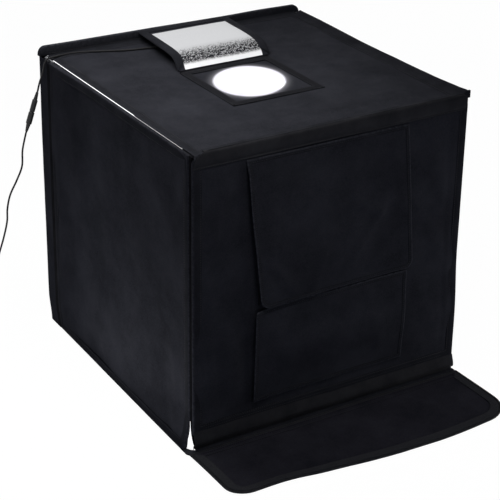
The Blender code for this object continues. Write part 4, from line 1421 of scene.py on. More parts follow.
@dataclass
class Panel:
    """A stiff panel: its cover, its bound edge, its film and the stitches along the binding."""

    finishes: Finishes
    name: str
    body: Body
    at: At
    outline: Outline
    drape: Drape
    depth: float = 5.0
    leg: float = 16.0
    inner_at: At | None = None

    def build(self, out: Vector, holes: Sequence[Outline] = (),
              fabric: Material | None = None) -> None:
        """Builds the panel's pieces.

        Args:
            out: Direction out of the panel.
            holes: Openings that go through it.
            fabric: Material of the cover where it isn't the plain one.
        """
        edge = self.outline
        inner = edge.shrunk(2.2, 0.6)
        cover = lay(self.name + "_fabric", self.at, inner, self.drape, -0.15, 0.7)
        film = lay(self.name + "_film", self.inner_at or self.at, inner,
                   Drape(0.3, 60, 0.1, 5, sink=0.3), -4.95, 0.35, 9)
        for hole in holes:
            cut(cover, self.at, hole)
            cut(film, self.at, hole)
        fit(cover, self.body, Slot.FABRIC, fabric or self.finishes.fabric, self.name + "_cover")
        fit(film, self.body, Slot.FILM, self.finishes.lining, self.name + "_liner")
        waves = Drape(0.25, 70, 0.1, 3)
        binding = sweep(self.name + "_edge_binding", self.at, edge,
                        bound_section(self.leg, self.depth), 0.55, waves, rub_and_highlight=0.75)
        fit(binding, self.body, Slot.BINDING, self.finishes.binding, self.name + "_binding")
        path = outline_path(self.at, edge, self.leg - 2.2, 0.42, waves)
        row = seam(self.name + "_stitches", path, out)
        fit(row, self.body, Slot.BINDING, self.finishes.thread)
        for number, hole in enumerate(holes, 1):
            if hole.corners[0] > WIDE_OPENING:
                self.turn_hole(hole)
            else:
                self.bind_hole(hole, number, out)

    def turn_hole(self, hole: Outline) -> None:
        """Turns the cover down round a large opening, with the film's edge below it; both are
        painted glowing.

        Args:
            hole: The opening.
        """
        section = [(-2.4, 0.0), (-1.6, 0.12), (-0.6, 0.05), (0.1, -0.25), (0.35, -0.8),
                   (0.35, -1.6)]
        edge = sweep(self.name + "_opening_edge", self.at, hole, section, 0.3)
        fit(edge, self.body, Slot.FABRIC, self.finishes.top_fabric)
        section = [(0.3, -1.6), (0.45, -3.0), (0.35, -5.2), (-2.0, -5.5)]
        film = sweep(self.name + "_opening_film", self.at, hole, section, 0.3)
        mark(film, "lit", lambda spot: 1.0)
        fit(film, self.body, Slot.FILM, self.finishes.leak)

    def bind_hole(self, hole: Outline, number: int, out: Vector) -> None:
        """Binds the edge of an opening with a narrow tape.

        Args:
            hole: The opening.
            number: Its number, for the pieces' names.
            out: Direction out of the panel.
        """
        section = bound_section(8, self.depth - 0.4, 1.2, -1, 0.15)
        section = [(inset + 0.9, lift) for inset, lift in section]
        tape = sweep("%s_opening_binding_%d" % (self.name, number), self.at, hole, section, 0.5)
        fit(tape, self.body, Slot.BINDING, self.finishes.binding)
        path = outline_path(self.at, hole, -4.9, 0.36)
        fit(seam("%s_opening_stitches_%d" % (self.name, number), path, out, 3.6, 2.4, 0.5),
            self.body, Slot.BINDING, self.finishes.thread)


@dataclass(frozen=True)
class Flare:
    """Sizes of the left wall's stand, in millimetres: at its rear edge and along its foot."""

    rear: float = 4.6
    rear_growth: float = 1.9
    top: float = 503
    fall: float = 260
    foot: float = 3.4
    slope: float = 0.0235
    hinge: float = 223
    reach: float = 64
    reach_growth: float = 190
    power: float = 1.5


LEFT_FLARE = Flare()


def left_flare(y: float, z: float) -> float:
    """How far the left wall stands out of its plane, mostly at its foot and towards the front.

    Args:
        y: Place along the wall.
        z: Height.

    Returns:
        The distance.
    """
    y, z, flare = y / MM, z / MM, LEFT_FLARE
    grown = flare.rear + flare.rear_growth * min(1.0, (flare.top - z) / flare.fall)
    rear = blend_in(y, 60, 220) * grown * blend_in(z, -20, 60)
    foot = flare.foot + (flare.hinge - y) * flare.slope
    reach = flare.reach + flare.reach_growth * blend_in(y, -244, -60)
    return math.hypot(rear, foot * max(0.0, 1 - z / reach) ** flare.power) * MM


@dataclass
class SideWalls(Assembly):
    """Left and right walls with the groove in front of the left one, its shade painted in a dark
    tape, and their rear strips.
    """

    left: Outline = Outline.mm(-244.4, 218.4, 0.6, 503.0, 5, 3, 3, 3)
    right: Outline = Outline.mm(-248.1, 218.4, 1.0, 503.0, 3)

    def left_at(self, across: float, up: float, lift: float) -> Vector:
        """Point of the left wall, whose outer side stands out at its foot.

        Args:
            across: Place along Y.
            up: Height.
            lift: Distance out of the wall's plane.

        Returns:
            The point.
        """
        share = min(1.0, max(0.0, 1 + lift / (5.3 * MM)))
        return LEFT_FACE.at(across, up, lift + left_flare(across, up) * share)

    def build(self) -> None:
        """Builds both walls."""
        folds = folds_of(
            (150, 470, 120, 300, 16, 1.6), (60, 465, 20, 250, 20, 1.3),
            (-20, 420, -60, 180, 22, -0.9), (-120, 300, -60, 90, 24, 1.4),
            (100, 220, 40, 60, 26, 1.2), (196, 430, 192, 60, 9, 1.0),
            (-200, 440, -170, 250, 16, -0.8), (-190, 160, -215, 30, 12, 1.6),
            (-225, 120, -232, 20, 7, 1.2), (-160, 120, -190, 20, 10, -0.8),
        )
        drape = Drape(1.5, 150, 0.22, 11, folds)
        Panel(self.finishes, "left_wall", Body.LEFT_WALL, self.left_at, self.left, drape,
              inner_at=LEFT_FACE.at).build(-X)
        drape = Drape(1.3, 150, 0.22, 23, folds[:6])
        Panel(self.finishes, "right_wall", Body.RIGHT_WALL, RIGHT_FACE.at, self.right,
              drape).build(X)
        self.groove()
        self.strip("left_wall", Body.LEFT_WALL, LEFT_FACE)
        self.strip("right_wall", Body.RIGHT_WALL, RIGHT_FACE)

    def groove(self) -> None:
        """Recessed tape between the left wall's binding and the door, with a stop behind it; its
        very dark colour is painted shade.
        """
        section = [(-236.0, 251.9), (-241.6, 252.9), (-243.4, 253.1), (-246.0, 252.7),
                   (-248.2, 252.6), (-248.5, 251.6), (-248.3, 248.5), (-248.2, 243.0)]

        def place(first: float, row: Row) -> Vector:
            """Point of the tape from its share up and its row."""
            y, x = row
            return mm(-x, y, 3 + 497 * first)

        item = profile_strip("left_wall_front_groove", 90, section, place, (0.5, 0.02), 0.4)
        fit(item, Body.LEFT_WALL, Slot.BINDING, self.finishes.painted_shade_and_seam_tape)

    def strip(self, name: str, body: Body, face: Face) -> None:
        """Fabric strip that joins a wall to the corner return behind it.

        Args:
            name: Name of the wall.
            body: Its body.
            face: Its face.
        """
        at = self.left_at if body is Body.LEFT_WALL else face.at
        item = lay(name + "_seam_strip", at, Outline.mm(213, 227, 4, 499, 1.5),
                   Drape(0.1, 60, 0.1, 9), 0.55, 0.5, 3)
        span = Span(Body.SHELL, body, face.at(222 * MM, 0.25), face.at(214 * MM, 0.25))
        fit(item, span, Slot.FABRIC, self.finishes.painted_shade_and_seam_tape)


@dataclass
class Roof(Assembly):
    """Top panel with its camera port, square of tape and lit edges."""

    outline: Outline = Outline.mm(-246, 246, -248.1, 248.7, 3)
    port: Outline = Outline.mm(-69, 47, -75.5, 40.5, 58)
    square: tuple[float, float, float, float] = (-94, 78, -105, 69)

    def build(self) -> None:
        """Builds the top."""
        folds = folds_of(
            (-165, -120, -160, 150, 6, 0.9), (-120, -140, -116, 120, 7, -0.8),
            (-170, -110, -164, 60, 1.8, -0.9), (-122, -150, -118, 60, 1.8, -0.9),
            (-236, -60, -100, -66, 2.2, -0.6), (-225, 45, -150, 50, 2.2, 0.6),
            (100, 118, 150, 96, 2.0, -0.9), (-100, -188, 120, -196, 2.0, -0.5),
            (-200, -60, -110, -90, 12, 0.9), (-230, 20, -130, 40, 14, 0.8),
            (-240, 110, -140, 120, 10, -0.8), (-220, 160, -120, 185, 10, 0.8),
            (-225, -200, 225, -202, 5, -0.5), (-225, -170, 225, -172, 6, 0.45),
            (95, 120, 160, 90, 6, 0.9), (110, 10, 210, -30, 16, 0.8),
            (120, -90, 220, -120, 14, -0.7), (120, 180, 230, 150, 12, 0.7),
            (-120, -150, 20, -160, 10, 0.6),
        )
        panel = Panel(self.finishes, "top", Body.SHELL, TOP_FACE.at, self.outline,
                      Drape(1.0, 120, 0.2, 31, folds))
        panel.build(Z, (self.port,), self.finishes.top_fabric)
        tape = tape_frame("port_square_tape", self.square, 15, 502.35, 1.0, 2.5)
        fit(tape, Body.SHELL, Slot.LOOP, self.finishes.pile, "port_tape")
        outline = Outline.mm(*self.square, 2.5)
        for number, inset in enumerate((1.6, 13.2), 1):
            path = outline_path(TOP_FACE.at, outline, inset, 1.35)
            fit(seam("port_tape_stitches_%d" % number, path, Z, 3.8, 2.5, 0.5), Body.SHELL,
                Slot.LOOP, self.finishes.thread)
        self.lit_edges()
        self.side_cover()

    def lit_edges(self) -> None:
        """Film lip along the left gap, painted glowing where the lamps shine out, and ends of the
        gap whose dark tape paints their shade.
        """
        def place(first: float, second: float) -> Vector:
            """Point of the film's lip from its shares along and across.

            Args:
                first: Share along.
                second: Share across.

            Returns:
                The point.
            """
            y = -216 + 442 * first
            ease = (0.22 + 0.78 * blend_in(y, -68, -60)) * blend_in(-y, -229, -222)
            return mm(-248.2 + 1.25 * ease * second, y, 502.15 + (0.2 + 0.45 * second) * ease)

        item = thicken(grid("roof_lit_edge", 170, 3, place, (0.44, 0.003)), 0.15)
        mark(item, "lit", lambda spot: 1.0)
        fit(item, Body.SHELL, Slot.FILM, self.finishes.leak)
        ends = (("front", (-248.6, -246.0), (-248.0, -216.0)),
                ("rear", (-248.6, -246.0), (226.5, 247.0)),
                ("corner", (-253.2, -249.4), (-252.4, -243.4)))
        for name, (left, right), (start, end) in ends:
            item = block("roof_gap_end_" + name, ((left + right) / 2, (start + end) / 2, 500.6),
                         (right - left, end - start, 4.4))
            bevel(item, 0.8)
            smooth(item)
            fit(item, Body.SHELL, Slot.BINDING, self.finishes.painted_shade_and_seam_tape)

    def side_cover(self) -> None:
        """Loose edge of the top that lies over the right wall and rises towards the front."""
        section = [(234, 0.25, 0.0), (240, 0.5, 0.05), (245, 0.9, 0.2), (249, 1.5, 0.55),
                   (252, 1.9, 0.85), (254.2, 1.9, 1.0), (255.6, 1.2, 0.95), (256.2, 0.4, 0.85)]
        heights = ((-246, 8.2), (-230, 6.6), (-177, 4.2), (-123, 2.8), (-67, 2.3), (-10, 1.4),
                   (50, 1.2), (112, 2.4), (175, 3.2), (240, 3.0))

        def place(first: float, row: Row) -> Vector:
            """Point of the edge from its share along and its row.

            Args:
                first: Share along.
                row: Row of the section.

            Returns:
                The point.
            """
            y = -248.5 + 489.5 * first
            x, base, share = row
            rise = along_table(heights, y) * share
            wave = 0.35 * share * noise.noise(Vector((x * 0.05, y * 0.03, 3.0)))
            return mm(x, y, 502.35 + base + rise + wave)

        item = profile_strip("roof_right_edge", 120, section, place, (0.49, 0.025), 0.7)
        fit(item, Body.SHELL, Slot.BINDING, self.finishes.binding)
        fillet = [(240.0, 502.3), (243.0, 502.7), (245.2, 503.2), (246.6, 504.4), (247.2, 506.2)]

        def rear(first: float, row: Row) -> Vector:
            """Point of the tape between the top and the ridge, from its share along and its row.

            Args:
                first: Share along.
                row: Row of the section.

            Returns:
                The point.
            """
            x = -246 + 492 * first
            y, z = row
            return mm(x, y + 0.25 * noise.noise(Vector((x * 0.04, z, 2.0))), z)

        tape = profile_strip("roof_rear_tape", 100, fillet, rear, (0.49, 0.01), 0.6)
        fit(tape, Body.SHELL, Slot.BINDING, self.finishes.binding)


@dataclass
class PortFlap(Assembly):
    """Flap of the camera port: one sheet that bends over its fold and rests on the ridge."""

    profile: tuple[tuple[float, float], ...] = ((74.6, 503.4), (77.5, 505.4), (81, 509.2),
                                                (86, 513.8), (92, 517.6), (99, 520.2),
                                                (108, 521.8), (120, 522.6), (138, 522.8),
                                                (160, 522.0), (190, 520.3), (218, 518.6),
                                                (238, 517.6), (249.5, 517.2))
    outline: Outline = Outline.mm(-93, 85, 0, 186, 1, 1, 5, 5)
    lean: float = 0.1
    half: float = 89 * MM
    sag: float = 1.6 * MM
    bend_start: float = 79.5
    bend_end: float = 130
    flash_end: float = 84

    def __post_init__(self) -> None:
        """Measures the profile."""
        self.points = smooth_path([mm(0, y, z) for y, z in self.profile], 1.5 * MM)
        self.length = sum((b - a).length for a, b in zip(self.points, self.points[1:]))
        self.outline = Outline(self.outline.left, self.outline.right, 0.0, self.length,
                               self.outline.corners)

    def at(self, across: float, along: float, lift: float) -> Vector:
        """Point of the flap from its places across and along the profile.

        Args:
            across: Place along X.
            along: Distance from the flap's root.
            lift: Height above the sheet.

        Returns:
            The point.
        """
        share = min(max(along / self.length, 0.0), 1.0) * (len(self.points) - 1)
        index = min(int(share), len(self.points) - 2)
        spot = self.points[index].lerp(self.points[index + 1], share - index)
        ahead = (self.points[index + 1] - self.points[index]).normalized()
        droop = self.droop(across, along)
        return Vector((across + self.lean * along, spot.y, spot.z - droop)) + X.cross(ahead) * lift

    def droop(self, across: float, along: float) -> float:
        """How far the flap's sides hang down between its fold and the ridge.

        Args:
            across: Place along X.
            along: Distance from the flap's root.

        Returns:
            The drop.
        """
        side = min(1.0, abs(across + 4 * MM) / self.half)
        bow = math.sin(math.pi * min(max(along / self.length, 0.0), 1.0))
        return self.sag * side ** 4 * bow

    def build(self) -> None:
        """Builds the flap's sheet, film, border and stitches."""
        waves = Drape(0.5, 70, 0.15, 41, folds_of((-60, 120, 40, 128, 12, 0.5)))
        sheet = lay("port_flap_fabric", self.at, self.outline, waves, 0.0, 0.9, 3.2)
        span = Span(Body.PORT_FOLD, Body.PORT_FLAP, mm(-8, 91, 515), mm(-8, 101, 519.5))
        fit(sheet, span, Slot.FABRIC, self.finishes.fabric, "port_fold_cover", "port_flap_cover")
        silver = Outline(-79 * MM, 71 * MM, 0.5 * MM, self.length - 26 * MM, (0.5 * MM,) * 4)
        film = lay("port_flap_film", self.at, silver, waves, 0.75, 0.4, 2.4)
        # Marks for the film's painted shade, dark reflections and highlight.
        mark(film, "bend", self.bend)
        mark(film, "flash", self.flash)
        fit(film, span, Slot.FILM, self.finishes.film, "port_fold_silver", "port_flap_silver")
        section = [(15.2, 0.6), (15.0, 1.2), (14, 1.3), (13, 1.05), (11, 1.4), (7.5, 1.6),
                   (3.8, 1.55), (1.6, 1.3), (0.4, 0.7), (-0.1, -0.2), (0.4, -1.2), (2.5, -1.6),
                   (8, -1.6)]
        border = sweep("port_flap_border", self.at, self.outline, section, 0.6, waves, Side.BOTTOM)
        fit(border, span, Slot.LOOP, self.finishes.binding, "port_flap_tape")
        path = outline_path(self.at, self.outline, 13, 1.35, waves, lambda x, y: y < 14 * MM)
        row = seam("port_flap_stitches", ordered(path), Z, 3.8, 2.5, 0.5)
        fit(row, span, Slot.LOOP, self.finishes.thread)
        root = lay("port_flap_root", TOP_FACE.at, Outline.mm(-90, 78, 68, 75.2, 0.8),
                   Drape(0.1, 40, 0.1, 2), 1.6, 0.5, 2.5)
        fit(root, Body.SHELL, Slot.FABRIC, self.finishes.painted_shade_and_seam_tape)

    def bend(self, spot: Vector) -> float:
        """How strongly the film is painted with shade and dark reflections at a place."""
        y = spot.y / MM
        return min((y - self.bend_start) / 3, (self.bend_end - y) / 34)

    def flash(self, spot: Vector) -> float:
        """How strongly the film is painted with a highlight at its lowest bend."""
        y = spot.y / MM
        return min(1.0, (self.flash_end - y) / 4)


def smooth_path(route: Sequence[Vector], spacing: float) -> list[Vector]:
    """Evenly spaced points of a smooth curve through the route's points.

    Args:
        route: Points that the curve goes through.
        spacing: Distance between the new points.

    Returns:
        The new points.
    """
    dense: list[Vector] = []
    padded = [2 * route[0] - route[1], *route, 2 * route[-1] - route[-2]]
    for a, b, c, d in zip(padded, padded[1:], padded[2:], padded[3:]):
        for step in range(24):
            t = step / 24
            dense.append(0.5 * ((2 * b) + (c - a) * t + (2 * a - 5 * b + 4 * c - d) * t * t
                                + (3 * b - a - 3 * c + d) * t * t * t))
    dense.append(route[-1].copy())
    lengths = [0.0]
    for first, second in zip(dense, dense[1:]):
        lengths.append(lengths[-1] + (second - first).length)
    count = max(2, round(lengths[-1] / spacing))
    points, index = [], 0
    for step in range(count + 1):
        target = lengths[-1] * step / count
        while index < len(dense) - 2 and lengths[index + 1] < target:
            index += 1
        share = (target - lengths[index]) / max(lengths[index + 1] - lengths[index], 1e-9)
        points.append(dense[index].lerp(dense[index + 1], share))
    return points


@dataclass
class Back(Assembly):
    """Back panel: skin that wraps the corners, ridge roll, lining and rear seams."""

    half: float = 254 * MM
    front: float = 219 * MM
    radius: float = 6 * MM
    bottom: float = 0.6 * MM
    top: float = 502.9 * MM

    def plan(self, inside: float) -> list[Vector]:
        """Line of the skin seen from above, from the left return round to the right one.

        Args:
            inside: How far inside the outer face it lies.

        Returns:
            Its points.
        """
        half = self.half - inside
        radius = max(self.radius - inside, 0.8 * MM)
        route = [Vector((-half, self.front, 0)), Vector((-half, half - radius, 0))]
        route += [Vector((-half + radius - radius * math.cos(a),
                          half - radius + radius * math.sin(a), 0))
                  for a in (math.pi / 12 * k for k in range(1, 6))]
        route.append(Vector((-half + radius, half, 0)))
        mirrored = [Vector((-p.x, p.y, 0)) for p in reversed(route)]
        line = []
        for first, second in zip(route + mirrored, (route + mirrored)[1:]):
            count = max(1, round((second - first).length / (6 * MM)))
            line += [first.lerp(second, step / count) for step in range(count)]
        return line + [mirrored[-1]]

    def skin(self, name: str, inside: float, thickness: float, drape: Drape, rows: int) -> Object:
        """Sheet that wraps the back.

        Args:
            name: Name of the piece.
            inside: How far inside the outer face its middle lies.
            thickness: Its thickness in millimetres.
            drape: Its waves.
            rows: Faces up.

        Returns:
            The piece.
        """
        line = self.plan(inside)
        columns = len(line) - 1

        def place(first: float, second: float) -> Vector:
            """Point of the skin from its shares along and up.

            Args:
                first: Share along.
                second: Share up.

            Returns:
                The point.
            """
            index = round(first * columns)
            ahead = line[min(index + 1, columns)] - line[max(index - 1, 0)]
            out = Vector((-ahead.y, ahead.x, 0)).normalized()
            height = self.bottom + (self.top - self.bottom) * second
            lift = drape.lift(index * 6 * MM, height)
            return self.shifted(line[index] + out * lift + Z * height, inside)

        item = grid(name, columns, rows, place, (columns * 6 * MM, self.top - self.bottom))
        return thicken(item, thickness)

    def shifted(self, spot: Vector, inside: float = 0.0) -> Vector:
        """Moves a point of the skin with the tent's soft rear left corner.

        Args:
            spot: The point.
            inside: How far inside the outer face it lies; the lining stays where it is.

        Returns:
            The moved point.
        """
        if inside > 2 * MM:
            return spot
        side = blend_in(-spot.x, 200 * MM, 253 * MM)
        rear = blend_in(spot.y, 219 * MM, 250 * MM)
        step = 8 * MM * min(1.0, max(0.0, 0.5 - spot.x / (508 * MM))) ** 1.5 * rear
        return Vector((spot.x - left_flare(spot.y, spot.z) * side, spot.y + step, spot.z))

    def build(self) -> None:
        """Builds the back."""
        folds = folds_of((120, 380, 180, 140, 20, 1.0), (400, 420, 330, 200, 24, -0.9),
                 (250, 150, 300, 60, 20, 0.8))
        cover = self.skin("back_fabric", 0.4 * MM, 0.7, Drape(0.8, 150, 0.15, 51, folds), 90)
        fit(cover, Body.SHELL, Slot.FABRIC, self.finishes.fabric, "back_cover")
        film = self.skin("back_film", 4.6 * MM, 0.4, Drape(0.12, 60, 0.06, 8), 60)
        fit(film, Body.SHELL, Slot.FILM, self.finishes.lining, "back_liner")
        face = Face(X, Z, Y, self.half)
        outline = Outline.mm(-246, 246, 2, 500, 2)
        for number, inset in enumerate((5, 14), 1):
            path = [self.shifted(spot) for spot in outline_path(face.at, outline, inset, 0.2)]
            fit(seam("back_stitches_%d" % number, path, Y, 4.4, 3.0), Body.SHELL, Slot.FABRIC,
                self.finishes.thread)
        self.ridge()

    def ridge(self) -> None:
        """Padded edge along the top of the back, rounded down into the corners."""
        item = block("back_ridge_roll", (0, 250.7, 509.6), (510, 7.6, 13.8))
        begin_edit(item)
        pick(item, lambda ends: abs(abs(ends[0].x + ends[1].x) - 510 * MM) < MM
             and abs(ends[0].y - ends[1].y) > MM and ends[0].z > 509 * MM)
        bpy.ops.mesh.bevel(offset=13 * MM, segments=8, affect="EDGES")
        end_edit()
        bevel(item, 2.6, 4, 40)
        begin_edit(item)
        pick(item, lambda ends: abs(ends[0].x - ends[1].x) > 300 * MM)
        bpy.ops.mesh.subdivide(number_cuts=110)
        end_edit()
        for vert in item.data.vertices:
            share = blend_in(vert.co.z, 503 * MM, 514 * MM)
            wave = noise.noise(Vector((vert.co.x * 11, 1.5, vert.co.z * 30)))
            vert.co.z += (1.0 * wave + 1.2 - 3.4 * vert.co.x) * MM * share
            vert.co.y += 0.35 * MM * noise.noise(Vector((vert.co.x * 17, 8, 0)))
            vert.co = self.shifted(vert.co)
        weld(item)
        smooth(item, 60)
        # Painted highlight along the top of the ridge, through its edge mask.
        mark(item, "edge", lambda spot: (spot.z / MM - 513.5) / 3 * 0.5)
        fit(item, Body.SHELL, Slot.BINDING, self.finishes.binding, "back_ridge")
        path = [self.shifted(mm(x, 246.7, 505.4)) for x in range(-238, 242, 6)]
        fit(seam("ridge_stitches", path, -Y, 4.4, 3.0), Body.SHELL, Slot.BINDING,
            self.finishes.thread)


FRONT_WAVES = folds_of(
    (-100, 148, 115, 136, 42, 11.0), (-240, 140, -172, 144, 38, 6.0),
    (150, 118, 235, 150, 44, 3.0),
)


def front_at(across: float, up: float, lift: float = 0.0) -> Vector:
    """Point of the door, whose right edge stands out a little near its foot.

    Args:
        across: Place along X.
        up: Height.
        lift: Distance out of the door's plane.

    Returns:
        The point.
    """
    flare = 5.2 * MM * blend_in(across, 150 * MM, 250 * MM) * blend_in(-up, -240 * MM, -100 * MM)
    return FRONT_FACE.at(across + flare, up, lift)


@dataclass
class Door(Assembly):
    """Front door: bound panel with two windows, rolled header with its tab, and a hem."""

    outline: Outline = Outline.mm(-252.9, 253.6, 28, 507.6, 3, 3, 19, 19)
    upper_window: Outline = Outline.mm(-124, 124, 247, 464.5, 10)
    lower_window: Outline = Outline.mm(-124, 124, 76.5, 202.5, 10)

    def build(self) -> None:
        """Builds the door."""
        folds = folds_of(
            (-190, 462, -222, 360, 12, 3.7), (-172, 430, -215, 300, 14, -2.0),
            (-228, 300, -222, 90, 12, 3.1), (-180, 330, -222, 262, 9, 3.4),
            (178, 455, 215, 340, 16, 3.4), (170, 380, 205, 300, 14, -2.4),
            (190, 300, 225, 210, 16, 4.1), (175, 180, 215, 90, 18, 2.4),
            (-200, 210, -176, 80, 16, 3.1), (-215, 180, -200, 60, 9, -2.0),
            (229, 470, 232, 60, 4, 0.9), (221, 440, 224, 60, 4, -0.7),
        )
        panel = Panel(self.finishes, "door", Body.DOOR, front_at, self.outline,
                      Drape(1.7, 110, 0.25, 61, folds + FRONT_WAVES), inner_at=FRONT_FACE.at)
        panel.build(-Y, (self.upper_window, self.lower_window))
        self.header()
        self.hem()
        self.hinge()

    def header(self) -> None:
        """Rolled band across the door's upper edge, with a small tab at its right end."""
        section = [(248.9, 507.7), (250.5, 508.6), (253.2, 508.9), (255.6, 508.2), (257.0, 506.2),
                   (257.7, 503.0), (258.0, 499.0), (257.9, 495.0), (257.4, 491.4), (256.4, 488.6),
                   (255.2, 486.9), (254.6, 485.9), (254.9, 485.0), (255.0, 482.9)]
        corner = 19

        def place(first: float, row: Row) -> Vector:
            """Point of the band from its share along and its row.

            Args:
                first: Share along.
                row: Row of the section.

            Returns:
                The point.
            """
            out, height = row
            inside = max(0.0, height - 488.6) / corner
            left = -253.0 + corner * (1 - math.sqrt(max(0.0, 1 - min(1.0, inside) ** 2)))
            x = left + (248.8 - left) * first
            wave = noise.noise(Vector((x * 0.018, 3.0, height * 0.01)))
            fine = noise.noise(Vector((x * 0.09, 5.0, height * 0.06)))
            bulge = max(0.0, out - 254.6) / 3.4
            return mm(x, -(out + bulge * (0.7 * wave + 0.2 * fine)), height + 0.5 * wave)

        band = profile_strip("door_header_roll", 130, section, place, (0.5, 0.034), 0.7)
        fit(band, Body.DOOR, Slot.BINDING, self.finishes.painted_light_binding, "door_header")
        path = [Vector((x * MM, -255.4 * MM, 484.2 * MM)) for x in range(-240, 250, 6)]
        fit(seam("door_header_stitches", path, -Y), Body.DOOR, Slot.BINDING, self.finishes.thread)
        tab = block("door_header_tab", (249.6, -254.6, 508.4), (10.6, 3.6, 12.6))
        begin_edit(tab, whole=True)
        bpy.ops.mesh.subdivide(number_cuts=3)
        end_edit()
        bevel(tab, 1.3, 3, 40)
        smooth(tab)
        fit(tab, Body.DOOR, Slot.BINDING, self.finishes.binding)

    def hem(self) -> None:
        """Padded roll along the door's foot with a skirt below and two rows of stitches above."""
        section = [(254.4, 33.0), (255.0, 30.4), (256.0, 27.6), (257.1, 24.6), (258.2, 21.4),
                   (259.0, 18.2), (259.5, 15.2), (259.4, 12.8), (258.4, 10.8), (256.8, 9.5),
                   (255.0, 8.8), (254.4, 7.6), (254.3, 5.6), (254.3, 3.8), (252.8, 3.2),
                   (250.5, 3.1)]

        def place(first: float, row: Row) -> Vector:
            """Point of the hem from its share along and its row.

            Args:
                first: Share along.
                row: Row of the section.

            Returns:
                The point.
            """
            x = -252.7 + 511.2 * first
            out, height = row
            wave = noise.noise(Vector((x * 0.012, 6.0, height * 0.02)))
            fine = noise.noise(Vector((x * 0.07, 9.0, height * 0.1)))
            sag = 2.2 * max(0.0, -x / 250) - 1.4 * max(0.0, x / 250)
            ease = blend_in(height, 3.3, 14)
            return mm(x, -(out + 0.5 * wave + 0.25 * fine), height + (0.6 * wave + sag) * ease)

        roll = profile_strip("door_hem_roll", 140, section, place, (0.5, 0.045), 0.8)
        fit(roll, Body.DOOR, Slot.FABRIC, self.finishes.painted_light_binding, "door_hem")
        for number, height in enumerate((36.5, 43.5), 1):
            path = [Vector((x * MM, -254.75 * MM, (height - x * 0.004) * MM))
                    for x in range(-232, 238, 6)]
            fit(seam("door_foot_stitches_%d" % number, path, -Y, 4.2, 3.0, 0.8), Body.DOOR,
                Slot.FABRIC, self.finishes.thread)

    def hinge(self) -> None:
        """Fabric hinge from the top's front edge to the door's header."""
        section = [(232, 502.8), (238, 503.0), (243, 503.2), (246.5, 503.8), (248.0, 505.6),
                   (249.4, 507.9), (251.5, 509.3), (253.5, 509.6)]

        def place(first: float, row: Row) -> Vector:
            """Point of the strip from its share along and its row.

            Args:
                first: Share along.
                row: Row of the section.

            Returns:
                The point.
            """
            x = -226 + 477.5 * first
            y, z = row
            return mm(x, -y, z + 0.25 * noise.noise(Vector((x * 0.03, 4.0, y * 0.05))))

        strip = profile_strip("door_hinge_strip", 110, section, place, (0.47, 0.026), 0.5)
        span = Span(Body.SHELL, Body.DOOR, mm(0, -247.5, 504.5), mm(0, -251.5, 509.3))
        fit(strip, span, Slot.FABRIC, self.finishes.binding)


